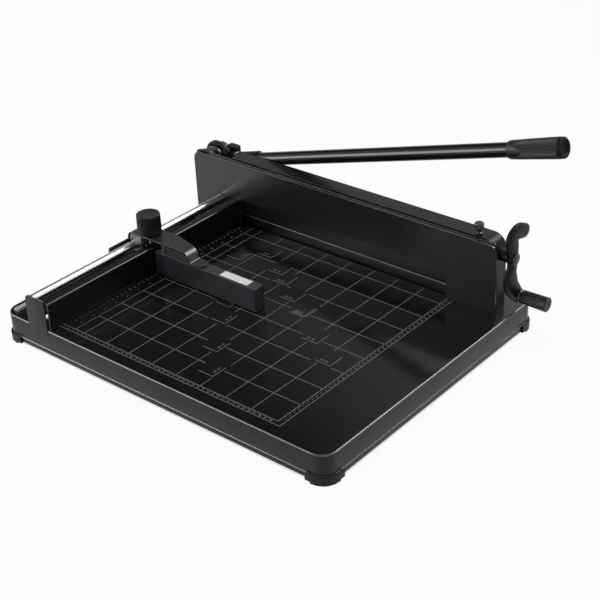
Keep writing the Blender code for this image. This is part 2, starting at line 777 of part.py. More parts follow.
def stop_block(carriage, look):
    """Tall straight bar that the edge of the paper stack rests against."""
    low = (BLOCK_FRONT, TABLE_CLEARANCE)
    high = (BLOCK_FRONT + BLOCK_DEPTH, BLOCK_TOP_Z)
    form = slab(box_outline(low, high, SADDLE_SHEET * 0.3), BLOCK_LEFT, BLOCK_RIGHT, "X")
    piece = add("stop_block", form, look, carriage)
    for x in stop_screw_spots():
        hole = disc((x, BLOCK_FRONT + BLOCK_DEPTH / 2), STOP_SCREW_RADIUS + RUNNING, SMALL_ROUND)
        cutter(slab(hole, -TABLE_CLEARANCE, BLOCK_TOP_Z + TABLE_CLEARANCE, "Z"), piece)
        sink = disc((x, BLOCK_FRONT + BLOCK_DEPTH / 2), STOP_SCREW_RADIUS * 2 + RUNNING, SMALL_ROUND)
        cutter(slab(sink, -TABLE_CLEARANCE, stop_screw_sink(), "Z"), piece)
    return piece


def stop_screw_sink():
    """Level of the step inside the stop block that the screw heads pull on."""
    return TABLE_CLEARANCE + BLOCK_HEIGHT * 0.7


def stop_screw_spots():
    """The two screws under the lower flange, and the one under the spacer."""
    flange = SADDLE_END_X - SADDLE_STEP_X - SADDLE_STEP_RUN
    return (
        BLOCK_LEFT + SPACER_INSET,
        SADDLE_END_X - flange * 0.3,
    )


def stop_screw(name, carriage, look, x):
    """Socket screw up through the stop block into the spacer or the saddle's flange."""
    form = turned([
        (STOP_SCREW_RADIUS * 2, stop_screw_sink() - STOP_SCREW_RADIUS * 2),
        (STOP_SCREW_RADIUS * 2, stop_screw_sink() - GAP),
        (STOP_SCREW_RADIUS, stop_screw_sink() - GAP),
        (STOP_SCREW_RADIUS, BLOCK_TOP_Z),
    ], "Z", SMALL_ROUND)
    return smooth(add(name, form, look, carriage, (x, BLOCK_FRONT + BLOCK_DEPTH / 2, 0)))


def spacer(carriage, look):
    """Bright round spacer that holds the saddle above the near end of the stop block."""
    spot = (BLOCK_LEFT + SPACER_INSET, BLOCK_FRONT + BLOCK_DEPTH / 2, 0)
    form = turned([
        (SPACER_RADIUS, BLOCK_TOP_Z + GAP),
        (SPACER_RADIUS, SADDLE_UNDER - GAP),
    ], "Z", SMALL_ROUND)
    return smooth(add("spacer_sleeve", form, look, carriage, spot))


def clamp_nut(carriage, look):
    """Bar under the fence's top flange that the knob's stud pulls up to lock the carriage."""
    top = FENCE_HEIGHT - FENCE_SHEET - LAYER
    outline = box_outline(
        (ROD_X + GUIDE_HALF + LAYER, KNOB_Y - CLAMP_NUT_LENGTH / 2),
        (FENCE_FACE - FENCE_SHEET - LAYER, KNOB_Y + CLAMP_NUT_LENGTH / 2),
        SADDLE_SHEET,
    )
    piece = add("clamp_nut", slab(outline, top - CLAMP_NUT_HEIGHT, top, "Z"), look, carriage)
    hole = disc((KNOB_X, KNOB_Y), STUD_RADIUS + RUNNING, SMALL_ROUND)
    cutter(slab(hole, top - CLAMP_NUT_HEIGHT * 2, top + CLAMP_NUT_HEIGHT, "Z"), piece)
    return piece


def knob(turn, look):
    """Tall round knob with a knurled side, slightly wider at its foot."""
    edge = KNOB_RADIUS * 0.06
    form = turned([
        (KNOB_RADIUS - edge * 2, GAP),
        (KNOB_RADIUS, GAP + edge),
        (KNOB_RADIUS, GAP + edge * 2),
        (KNOB_TOP_RADIUS, KNOB_HEIGHT - edge * 2),
        (KNOB_TOP_RADIUS, KNOB_HEIGHT - edge),
        (KNOB_TOP_RADIUS - edge, KNOB_HEIGHT),
    ], "Z", KNOB_GROOVES * 2, KNOB_GROOVES, KNOB_GROOVE_DEPTH, (2, 3))
    return add("lock_knob", form, look, turn)


def knob_stud(turn, look):
    """Steel stud of the knob, down through the saddle to the clamp nut."""
    foot = FENCE_HEIGHT - FENCE_SHEET - LAYER - CLAMP_NUT_HEIGHT - SADDLE_SHEET - SADDLE_TOP
    form = turned([(STUD_RADIUS * 0.85, foot), (STUD_RADIUS, foot + STUD_RADIUS * 0.3),
                   (STUD_RADIUS, 0.0)], "Z", SMALL_ROUND)
    return smooth(add("knob_stud", form, look, turn))


def front_plate(machine, look):
    """Guard plate with round upper corners, a wide opening and two weld studs behind."""
    outline = rounded_path([
        (PLATE_LEFT, GAP),
        (WINDOW_LEFT, GAP),
        (WINDOW_LEFT, WINDOW_HEIGHT),
        (WINDOW_RIGHT, WINDOW_HEIGHT),
        (WINDOW_RIGHT, GAP),
        (PLATE_RIGHT, GAP),
        (PLATE_RIGHT, PLATE_HEIGHT),
        (PLATE_LEFT, PLATE_HEIGHT),
    ], [0, 0, WINDOW_CORNER, WINDOW_CORNER, 0, 0, PLATE_CORNER, PLATE_CORNER], CORNER)
    plate = add("front_plate", slab(outline, PLATE_Y, PLATE_BACK, "Y"), look, machine)
    for x in guide_stud_spots():
        stud = turned([
            (GUIDE_STUD_RADIUS, PLATE_Y + PLATE_SHEET / 2),
            (GUIDE_STUD_RADIUS, DRAW_BACK + GAP),
        ], "Y", SMALL_ROUND)
        cutter(moved(stud, (x, 0, GUIDE_STUD_Z)), plate, "UNION")
    return plate


def rear_plate(machine, look):
    """Thick plate behind the blade: ear for the lever pivot, notch and arc for the swing."""
    notch_left = PIVOT_X + HUB_RADIUS * 0.85
    notch_right = COVER_LEFT + DRIVE_BOSS
    notch_foot = PIVOT_Z + DRIVE_Z - DRIVE_BOSS
    ear = BRACKET_HUB
    window = WINDOW_HEIGHT + REAR_WINDOW_EXTRA / 3
    right = COVER_RIGHT - COVER_SHEET - LAYER
    outline = rounded_path([
        (PIVOT_X - ear, GAP),
        (WINDOW_LEFT - REAR_WINDOW_EXTRA, GAP),
        (WINDOW_LEFT - REAR_WINDOW_EXTRA, window),
        (WINDOW_RIGHT + REAR_WINDOW_EXTRA, window),
        (WINDOW_RIGHT + REAR_WINDOW_EXTRA, GAP),
        (right, GAP),
        (right, REAR_TOP),
        (notch_right, REAR_TOP),
        (notch_right, notch_foot),
        (notch_left, notch_foot),
        (notch_left, PIVOT_Z + ear),
        (PIVOT_X - ear, PIVOT_Z + ear),
    ], [0, 0, WINDOW_CORNER, WINDOW_CORNER, 0, 0, COVER_BEND - 2 * COVER_SHEET, WINDOW_CORNER,
        DRIVE_BOSS * 0.6, DRIVE_BOSS * 0.6, ear * 0.95, ear * 0.95], CORNER)
    piece = add("rear_plate", slab(outline, REAR_FRONT, REAR_BACK, "Y"), look, machine)
    bore = disc((PIVOT_X, PIVOT_Z), PIVOT_RADIUS + RUNNING, ROUND)
    cutter(slab(bore, REAR_FRONT - LAYER, REAR_BACK + LAYER, "Y"), piece)
    link = disc((LINK_PIVOT_X, PIVOT_Z), DRIVE_PIN_RADIUS + RUNNING, SMALL_ROUND)
    cutter(slab(link, REAR_FRONT - LAYER, REAR_BACK + LAYER, "Y"), piece)
    half = DRIVE_PIN_RADIUS + LAYER
    spread = math.degrees(LAYER * 2 / SWING_RADIUS)
    centre = (LINK_PIVOT_X, PIVOT_Z)
    outer = arc(centre, SWING_RADIUS + half, -SWING_REST - spread, spread, CORNER * 2)
    inner = arc(centre, SWING_RADIUS - half, spread, -SWING_REST - spread, CORNER * 2)
    high = arc(arc(centre, SWING_RADIUS, spread, spread, 1)[0], half, spread, spread + 180, CORNER)
    low_angle = -SWING_REST - spread
    low = arc(arc(centre, SWING_RADIUS, low_angle, low_angle, 1)[0], half, low_angle + 180,
              low_angle + 360, CORNER)
    slot = outer + high[1:-1] + inner + low[1:-1]
    cutter(slab(slot, REAR_FRONT - LAYER, REAR_BACK + LAYER, "Y"), piece)
    for x, z in rear_screw_spots():
        head = turned([
            (SCREW_HEAD_RADIUS, REAR_BACK - SCREW_HEAD_HEIGHT * 0.5),
            (SCREW_HEAD_RADIUS, REAR_BACK + SCREW_HEAD_HEIGHT * 0.6),
            (SCREW_HEAD_RADIUS * 0.75, REAR_BACK + SCREW_HEAD_HEIGHT),
        ], "Y", SMALL_ROUND)
        cutter(moved(head, (x, 0, z)), piece, "UNION")
    return piece


def rear_screw_spots():
    """Button heads on the back of the rear plate, over the two blocks, in X and Z."""
    left = PIVOT_X - BRACKET_HUB / 2
    right = (RIGHT_BLOCK_LEFT + RIGHT_BLOCK_RIGHT) / 2
    low = BLOCK_TOP * 0.2
    high = BLOCK_TOP * 0.55
    return ((left, low), (left, high), (right, low), (right, BLOCK_TOP * 0.85))


def housing_cover(machine, look):
    """Folded cover over the blade, bent down at the crank end to the table."""
    inner = COVER_BEND - COVER_SHEET
    outline = rounded_path([
        (COVER_LEFT, COVER_TOP - COVER_SHEET),
        (COVER_RIGHT - COVER_SHEET, COVER_TOP - COVER_SHEET),
        (COVER_RIGHT - COVER_SHEET, GAP),
        (COVER_RIGHT, GAP),
        (COVER_RIGHT, COVER_TOP),
        (COVER_LEFT, COVER_TOP),
    ], [0, inner, 0, 0, COVER_BEND, 0], CORNER)
    cover = add("housing_cover", slab(outline, COVER_FRONT, COVER_BACK, "Y"), look, machine)
    skirt = box_outline(
        (COVER_LEFT, REAR_TOP - SCREW_HEAD_RADIUS * 1.9),
        (COVER_RIGHT - COVER_BEND, COVER_TOP - COVER_SHEET / 2),
    )
    cutter(slab(skirt, COVER_BACK - COVER_SHEET, COVER_BACK, "Y"), cover, "UNION")
    relief = box_outline((COVER_LEFT - COVER_SHEET, 0.0), (COVER_LEFT + COVER_RELIEF, COVER_TOP * 2))
    cutter(slab(relief, REAR_BACK, COVER_BACK + COVER_SHEET, "Y"), cover)
    spindle = disc((SPINDLE_Y, SPINDLE_Z), SPINDLE_RADIUS + LAYER, SMALL_ROUND)
    wall = COVER_RIGHT - COVER_SHEET * 2
    cutter(slab(spindle, wall, COVER_RIGHT + COVER_SHEET, "X"), cover)
    lock = disc((LOCK_X, SPINDLE_Y), LOCK_RADIUS + RUNNING, SMALL_ROUND)
    cutter(slab(lock, COVER_TOP - COVER_SHEET * 2, COVER_TOP + COVER_SHEET, "Z"), cover)
    for x in cover_screw_spots():
        hole = disc((x, COVER_SCREW_Z), SCREW_RADIUS + RUNNING, SMALL_ROUND)
        cutter(slab(hole, COVER_BACK - COVER_SHEET * 2, COVER_BACK + COVER_SHEET, "Y"), cover)
    return cover


def cover_screw_spots():
    """Where the cover's back skirt is screwed to the rear plate, along X."""
    return (COVER_LEFT + DRIVE_BOSS * 6, LOCK_X - DRIVE_BOSS * 2)


def cover_screw(name, machine, look, x):
    """Button-headed screw in the cover's back skirt."""
    head = COVER_BACK + GAP
    form = turned([
        (SCREW_RADIUS, REAR_BACK + GAP),
        (SCREW_RADIUS, head),
        (SCREW_HEAD_RADIUS, head),
        (SCREW_HEAD_RADIUS, head + SCREW_HEAD_HEIGHT * 0.6),
        (SCREW_HEAD_RADIUS * 0.75, head + SCREW_HEAD_HEIGHT),
    ], "Y", SMALL_ROUND)
    return smooth(add(name, form, look, machine, (x, 0, COVER_SCREW_Z)))


def left_block(machine, look):
    """Cast pillar between the two plates at the lever end."""
    outline = box_outline(
        (LEFT_BLOCK_LEFT, PLATE_BACK + GAP),
        (LEFT_BLOCK_LEFT + LEFT_BLOCK_WIDTH, REAR_FRONT - GAP),
        BLOCK_CLEAR_TOP / 2,
    )
    top = PIVOT_Z - BRACKET_HUB
    return add("left_block", slab(outline, GAP, top, "Z"), look, machine)


def right_block(machine, look):
    """Cast pillar at the crank end, with the arm that carries the spindle."""
    outline = box_outline(
        (RIGHT_BLOCK_LEFT, PLATE_BACK + GAP),
        (RIGHT_BLOCK_RIGHT, REAR_FRONT - GAP),
        BLOCK_CLEAR_TOP / 2,
    )
    top = COVER_TOP - COVER_BEND
    piece = add("right_block", slab(outline, GAP, top, "Z"), look, machine)
    half = SPINDLE_RADIUS + COVER_SHEET
    arm = box_outline(
        (SPINDLE_Y - half, SPINDLE_Z - half),
        (SPINDLE_Y + half - LAYER / 2, COVER_TOP - COVER_SHEET - LAYER),
        COVER_SHEET,
    )
    arm_right = RIGHT_BLOCK_LEFT + BLOCK_CLEAR_TOP / 2
    cutter(slab(arm, BEARING_LEFT, arm_right, "X"), piece, "UNION")
    bore = disc((SPINDLE_Y, SPINDLE_Z), SPINDLE_RADIUS + RUNNING, ROUND)
    cutter(slab(bore, BEARING_LEFT - LAYER, RIGHT_BLOCK_RIGHT + LAYER, "X"), piece)
    lock = disc((LOCK_X, SPINDLE_Y), LOCK_RADIUS + RUNNING, SMALL_ROUND)
    cutter(slab(lock, SPINDLE_Z, COVER_TOP + LAYER, "Z"), piece)
    return piece


def cutting_stick(machine, look):
    """Plastic stick in the table that the blade closes on."""
    outline = box_outline(
        (BLADE_LEFT, STICK_FRONT),
        (BLADE_RIGHT + STICK_OVERRUN, STICK_FRONT + STICK_WIDTH),
    )
    low = -STICK_SINK - STICK_HEIGHT
    return add("cutting_stick", slab(outline, low, -STICK_SINK, "Z"), look, machine)


def stick_channel(machine, look):
    """Folded channel under the table that holds the cutting stick."""
    front = STICK_FRONT - GAP
    back = STICK_FRONT + STICK_WIDTH + GAP
    floor = -STICK_SINK - STICK_HEIGHT - GAP
    top = -SHEET - GAP
    outline = [
        (front - CHANNEL_SHEET, floor - CHANNEL_SHEET),
        (back + CHANNEL_SHEET, floor - CHANNEL_SHEET),
        (back + CHANNEL_SHEET, top - CHANNEL_SHEET),
        (back + CHANNEL_SHEET * 6, top - CHANNEL_SHEET),
        (back + CHANNEL_SHEET * 6, top),
        (back, top),
        (back, floor),
        (front, floor),
        (front, top),
        (front - CHANNEL_SHEET * 6, top),
        (front - CHANNEL_SHEET * 6, top - CHANNEL_SHEET),
        (front - CHANNEL_SHEET, top - CHANNEL_SHEET),
    ]
    left = BLADE_LEFT - CHANNEL_SHEET
    right = BLADE_RIGHT + STICK_OVERRUN + CHANNEL_SHEET
    return add("stick_channel", slab(outline, left, right, "X"), look, machine)


def clamp_post(name, machine, look, right):
    """Grooved upright that guides one end of the clamp bar."""
    side = 1 if right else -1
    inner = CLAMP_RIGHT + GAP * 2 if right else CLAMP_LEFT - GAP * 2
    outer = inner + side * POST_WIDTH
    depth = side * (TONGUE_LENGTH + GAP)
    middle = (CLAMP_FRONT + CLAMP_BACK) / 2
    outline = [
        (inner, CLAMP_FRONT),
        (outer, CLAMP_FRONT),
        (outer, CLAMP_BACK),
        (inner, CLAMP_BACK),
        (inner, middle + POST_GROOVE / 2),
        (inner + depth, middle + POST_GROOVE / 2),
        (inner + depth, middle - POST_GROOVE / 2),
        (inner, middle - POST_GROOVE / 2),
    ]
    post = add(name, slab(outline, GAP, POST_TOP, "Z"), look, machine)
    xs = sorted((inner + depth, outer))
    foot = box_outline((xs[0], PLATE_BACK + GAP), (xs[1], CLAMP_FRONT + TONGUE_SHEET / 2))
    cutter(slab(foot, GAP, DRAW_FOOT - LAYER * 2, "Z"), post, "UNION")
    return post


def clamp_bar(press, look):
    """Flat clamp plate with an upper part for the pins and tongues at its ends."""
    lip = CLAMP_LIP
    outline = rounded_path([
        (CLAMP_LEFT, CLAMP_REST),
        (CLAMP_RIGHT, CLAMP_REST),
        (CLAMP_RIGHT, CLAMP_FOOT_TOP),
        (CLAMP_UPPER_RIGHT, CLAMP_FOOT_TOP),
        (CLAMP_UPPER_RIGHT, CLAMP_TOP),
        (CLAMP_UPPER_LEFT, CLAMP_TOP),
        (CLAMP_UPPER_LEFT, CLAMP_FOOT_TOP),
        (CLAMP_LEFT, CLAMP_FOOT_TOP),
    ], [0, 0, 0, lip, lip, lip, lip, 0], 3)
    bar = add("clamp_bar", slab(outline, CLAMP_FRONT, CLAMP_BACK, "Y"), look, press)
    middle = (CLAMP_FRONT + CLAMP_BACK) / 2
    tongue = box_outline(
        (CLAMP_LEFT - TONGUE_LENGTH, CLAMP_REST),
        (CLAMP_RIGHT + TONGUE_LENGTH, CLAMP_FOOT_TOP - lip),
    )
    cutter(slab(tongue, middle - TONGUE_SHEET / 2, middle + TONGUE_SHEET / 2, "Y"), bar, "UNION")
    for x in clamp_pin_spots():
        hole = disc((x, CLAMP_PIN_Z), CLAMP_PIN_RADIUS + RUNNING, SMALL_ROUND)
        cutter(slab(hole, CLAMP_FRONT - LAYER, middle, "Y"), bar)
    return bar


def clamp_pin_spots():
    """The two pins that ride in the slanted slots of the draw bar."""
    return (CLAMP_UPPER_LEFT + CLAMP_PIN_INSET, CLAMP_UPPER_RIGHT - CLAMP_PIN_INSET)


def clamp_pin(name, press, look, x):
    """Hardened pin in the clamp bar's face."""
    middle = (CLAMP_FRONT + CLAMP_BACK) / 2
    form = turned([
        (CLAMP_PIN_RADIUS, DRAW_FRONT + GAP),
        (CLAMP_PIN_RADIUS, middle - GAP),
    ], "Y", SMALL_ROUND)
    return smooth(add(name, form, look, press, (x, 0, CLAMP_PIN_Z)))


def slot_outline(start, end, radius):
    """A slot with round ends from one point to another."""
    along = Vector(end) - Vector(start)
    angle = math.degrees(math.atan2(along.y, along.x))
    return arc(end, radius, angle - 90, angle + 90, CORNER) + arc(start, radius, angle + 90, angle + 270, CORNER)


def draw_bar(slide, look):
    """Flat bar with slanted slots: drawn towards the crank, it lifts the clamp bar."""
    low = (DRAW_LEFT, DRAW_FOOT)
    high = (NUT_LEFT + NUT_LENGTH, DRAW_TOP)
    outline = box_outline(low, high, CLAMP_PIN_RADIUS)
    bar = add("draw_bar", slab(outline, DRAW_FRONT, DRAW_BACK, "Y"), look, slide)
    for x in clamp_pin_spots():
        start = (x, CLAMP_PIN_Z)
        end = (x - CLAMP_LIFT, CLAMP_PIN_Z + CLAMP_LIFT)
        slot = slot_outline(start, end, CLAMP_PIN_RADIUS + GAP * 2)
        cutter(slab(slot, DRAW_FRONT - LAYER, DRAW_BACK + LAYER, "Y"), bar)
    for x in guide_stud_spots():
        slot = slot_outline((x - CLAMP_LIFT, GUIDE_STUD_Z), (x, GUIDE_STUD_Z), GUIDE_STUD_RADIUS + GAP * 2)
        cutter(slab(slot, DRAW_FRONT - LAYER, DRAW_BACK + LAYER, "Y"), bar)
    return bar


def guide_stud_spots():
    """Two weld studs on the back of the front plate that the draw bar slides on."""
    span = CLAMP_UPPER_RIGHT - CLAMP_UPPER_LEFT
    return (CLAMP_UPPER_LEFT + span * 0.40, CLAMP_UPPER_LEFT + span * 0.66)


def spindle_nut(slide, look):
    """Bronze nut on the end of the draw bar."""
    outline = box_outline(
        (DRAW_BACK + GAP, SPINDLE_Z - NUT_HALF),
        (SPINDLE_Y + NUT_BACK, SPINDLE_Z + NUT_HALF),
        GAP * 3,
    )
    piece = add("spindle_nut", slab(outline, NUT_LEFT, NUT_LEFT + NUT_LENGTH, "X"), look, slide)
    bore = disc((SPINDLE_Y, SPINDLE_Z), THREAD_RADIUS + RUNNING, ROUND)
    cutter(slab(bore, NUT_LEFT - LAYER, NUT_LEFT + NUT_LENGTH + LAYER, "X"), piece)
    return piece


def spindle(crank, look):
    """Lead screw with its thrust collar and the journal that carries the crank."""
    start = SPINDLE_LEFT - CRANK_MID_X
    collar = BEARING_LEFT - GAP - CRANK_MID_X
    end = CRANK_HUB_LENGTH / 2 + GAP
    chamfer = THREAD_RADIUS * 0.3
    form = turned([
        (THREAD_RADIUS - chamfer, start),
        (THREAD_RADIUS, start + chamfer),
        (THREAD_RADIUS, collar - COLLAR_LENGTH),
        (COLLAR_RADIUS, collar - COLLAR_LENGTH),
        (COLLAR_RADIUS, collar),
        (SPINDLE_RADIUS, collar),
        (SPINDLE_RADIUS, end),
    ], "X", ROUND)
    return smooth(add("crank_spindle", form, look, crank))


def spindle_bush(machine, look):
    """Bright flanged bush where the spindle leaves the cover."""
    left = COVER_RIGHT + GAP
    form = turned([
        (BUSH_FLANGE_RADIUS, left),
        (BUSH_FLANGE_RADIUS, left + BUSH_FLANGE),
        (BUSH_RADIUS, left + BUSH_FLANGE),
        (BUSH_RADIUS, left + BUSH_LENGTH),
    ], "X", ROUND)
    bush = add("spindle_bush", form, look, machine, (0, SPINDLE_Y, SPINDLE_Z))
    bore = disc((0, 0), SPINDLE_RADIUS + RUNNING, ROUND)
    cutter(slab(bore, left - LAYER, left + BUSH_LENGTH + LAYER, "X"), bush)
    return smooth(bush)


def crank_arm(crank, look):
    """S-shaped casting: swept counterweight, hub, waist, belly and the boss for the grip."""
    line = [
        (CRANK_TIP_Y, CRANK_TIP_Z),
        (CRANK_CROWN_Y, CRANK_CROWN_Z),
        (CRANK_SHOULDER_Y, CRANK_SHOULDER_Z),
        (CRANK_NECK_Y, CRANK_NECK_Z),
        (0.0, 0.0),
        (CRANK_WAIST_Y, CRANK_WAIST_Z),
        (CRANK_BELLY_Y, CRANK_BELLY_Z),
        (CRANK_KNEE_Y, CRANK_KNEE_Z),
        (GRIP_Y, GRIP_Z),
    ]
    halves = [
        CRANK_TIP_HALF,
        CRANK_CROWN_HALF,
        CRANK_SHOULDER_HALF,
        CRANK_NECK_HALF,
        CRANK_HUB_HALF,
        CRANK_WAIST_HALF,
        CRANK_BELLY_HALF,
        CRANK_KNEE_HALF,
        CRANK_BOSS_HALF,
    ]
    form = slab(stroke(line, halves, 3, 8), -CRANK_SHEET / 2, CRANK_SHEET / 2, "X")
    arm = add("crank_arm", form, look, crank)
    soften(arm, CRANK_SHEET * 0.28, 2, 50)
    hub = turned([
        (CRANK_HUB_RADIUS * 0.9, -CRANK_HUB_LENGTH / 2),
        (CRANK_HUB_RADIUS, -CRANK_HUB_LENGTH * 0.4),
        (CRANK_HUB_RADIUS, CRANK_HUB_LENGTH * 0.4),
        (CRANK_HUB_RADIUS * 0.9, CRANK_HUB_LENGTH / 2),
    ], "X", ROUND)
    cutter(hub, arm, "UNION")
    bore = disc((0, 0), SPINDLE_RADIUS + GAP, ROUND)
    cutter(slab(bore, -CRANK_HUB_LENGTH, CRANK_HUB_LENGTH, "X"), arm)
    pin = disc((GRIP_Y, GRIP_Z), GRIP_PIN_RADIUS + GAP, SMALL_ROUND)
    cutter(slab(pin, -CRANK_HUB_LENGTH, CRANK_HUB_LENGTH, "X"), arm)
    return smooth(arm)


def crank_screw(crank, look):
    """Washer-headed screw that holds the crank on its spindle."""
    start = CRANK_HUB_LENGTH / 2 + GAP * 2
    form = turned([
        (CRANK_HUB_RADIUS * 0.75, start),
        (CRANK_HUB_RADIUS * 0.75, start + SCREW_HEAD_HEIGHT * 0.5),
        (CRANK_HUB_RADIUS * 0.5, start + SCREW_HEAD_HEIGHT * 0.5),
        (CRANK_HUB_RADIUS * 0.5, start + SCREW_HEAD_HEIGHT * 1.2),
        (CRANK_HUB_RADIUS * 0.4, start + SCREW_HEAD_HEIGHT * 1.4),
    ], "X", SMALL_ROUND)
    return smooth(add("crank_screw", form, look, crank))


def grip_washer(crank, look):
    """Bright washer between the crank's boss and the grip."""
    left = CRANK_SHEET / 2 + GAP
    spot = (0, GRIP_Y, GRIP_Z)
    outer = turned([
        (GRIP_ROOT_RADIUS * 0.95, left),
        (GRIP_ROOT_RADIUS * 0.95, left + GRIP_WASHER),
    ], "X", ROUND)
    washer = add("grip_washer", outer, look, crank, spot)
    bore = disc((0, 0), GRIP_PIN_RADIUS + GAP, SMALL_ROUND)
    cutter(slab(bore, 0.0, CRANK_SHEET, "X"), washer)
    return smooth(washer)


def grip_pin(crank, look):
    """Shoulder screw through the grip, riveted in the crank's boss."""
    end = GRIP_X - CRANK_MID_X + GRIP_LENGTH - GRIP_WASHER
    form = turned([
        (GRIP_PIN_RADIUS, -CRANK_SHEET * 0.4),
        (GRIP_PIN_RADIUS, end - GRIP_WASHER * 2),
        (GRIP_PIN_RADIUS * 1.6, end - GRIP_WASHER * 2),
        (GRIP_PIN_RADIUS * 1.6, end),
    ], "X", SMALL_ROUND)
    return smooth(add("grip_pin", form, look, crank, (0, GRIP_Y, GRIP_Z)))


def crank_grip(spin, look):
    """Ribbed plastic grip that turns on its pin, wider at its outer end."""
    length = GRIP_LENGTH
    root = GRIP_ROOT_RADIUS
    end = GRIP_END_RADIUS
    profile = [
        (root * 0.9, 0.0),
        (root, length * 0.03),
        (root, length * 0.08),
        (root + (end - root) * 0.8, length * 0.80),
        (end, length * 0.84),
        (end, length * 0.96),
        (end * 0.9, length),
    ]
    form = turned(profile, "X", GRIP_GROOVES * 2, GRIP_GROOVES, GRIP_GROOVE_DEPTH, (2, 3))
    grip = add("crank_grip", form, look, spin)
    bore = disc((0, 0), GRIP_PIN_RADIUS + RUNNING, SMALL_ROUND)
    cutter(slab(bore, -length, length * 2, "X"), grip)
    sink = disc((0, 0), GRIP_PIN_RADIUS * 1.6 + RUNNING, SMALL_ROUND)
    depth = GRIP_LENGTH - GRIP_WASHER * 3 - GAP
    cutter(slab(sink, depth, length * 2, "X"), grip)
    return grip


def lock_screw(turn, look):
    """Small hand screw on the cover that locks the spindle."""
    form = turned([
        (LOCK_RADIUS * 0.7, -LOCK_DEPTH),
        (LOCK_RADIUS, -LOCK_DEPTH + LOCK_RADIUS * 0.3),
        (LOCK_RADIUS, GAP),
        (LOCK_COLLAR_RADIUS, GAP),
        (LOCK_COLLAR_RADIUS, LOCK_COLLAR_HEIGHT),
        (LOCK_NECK_RADIUS, LOCK_COLLAR_HEIGHT),
        (LOCK_NECK_RADIUS, LOCK_COLLAR_HEIGHT + LOCK_NECK_HEIGHT),
        (LOCK_HEAD_RADIUS, LOCK_COLLAR_HEIGHT + LOCK_NECK_HEIGHT + LOCK_HEAD_HEIGHT * 0.2),
        (LOCK_HEAD_RADIUS, LOCK_COLLAR_HEIGHT + LOCK_NECK_HEIGHT + LOCK_HEAD_HEIGHT * 0.75),
        (LOCK_HEAD_RADIUS * 0.7, LOCK_COLLAR_HEIGHT + LOCK_NECK_HEIGHT + LOCK_HEAD_HEIGHT),
    ], "Z", 24, 12, LOCK_RADIUS * 0.2, (7, 8))
    return smooth(add("spindle_lock_screw", form, look, turn))


def lever_point(along, offset):
    """A point given along the tube's line from the pivot, in X and Z from the pivot."""
    x = along * math.cos(TUBE_ANGLE) - offset * math.sin(TUBE_ANGLE)
    z = along * math.sin(TUBE_ANGLE) + offset * math.cos(TUBE_ANGLE)
    return x, z


def arm_bolt_spots():
    """The two bright bolts in the face of the lever arm, from the pivot."""
    run = ARM_BOLT_PITCH * math.cos(TUBE_ANGLE)
    fall = ARM_BOLT_PITCH * math.sin(TUBE_ANGLE)
    return ((ARM_BOLT_X, ARM_BOLT_Z), (ARM_BOLT_X + run, ARM_BOLT_Z - fall))


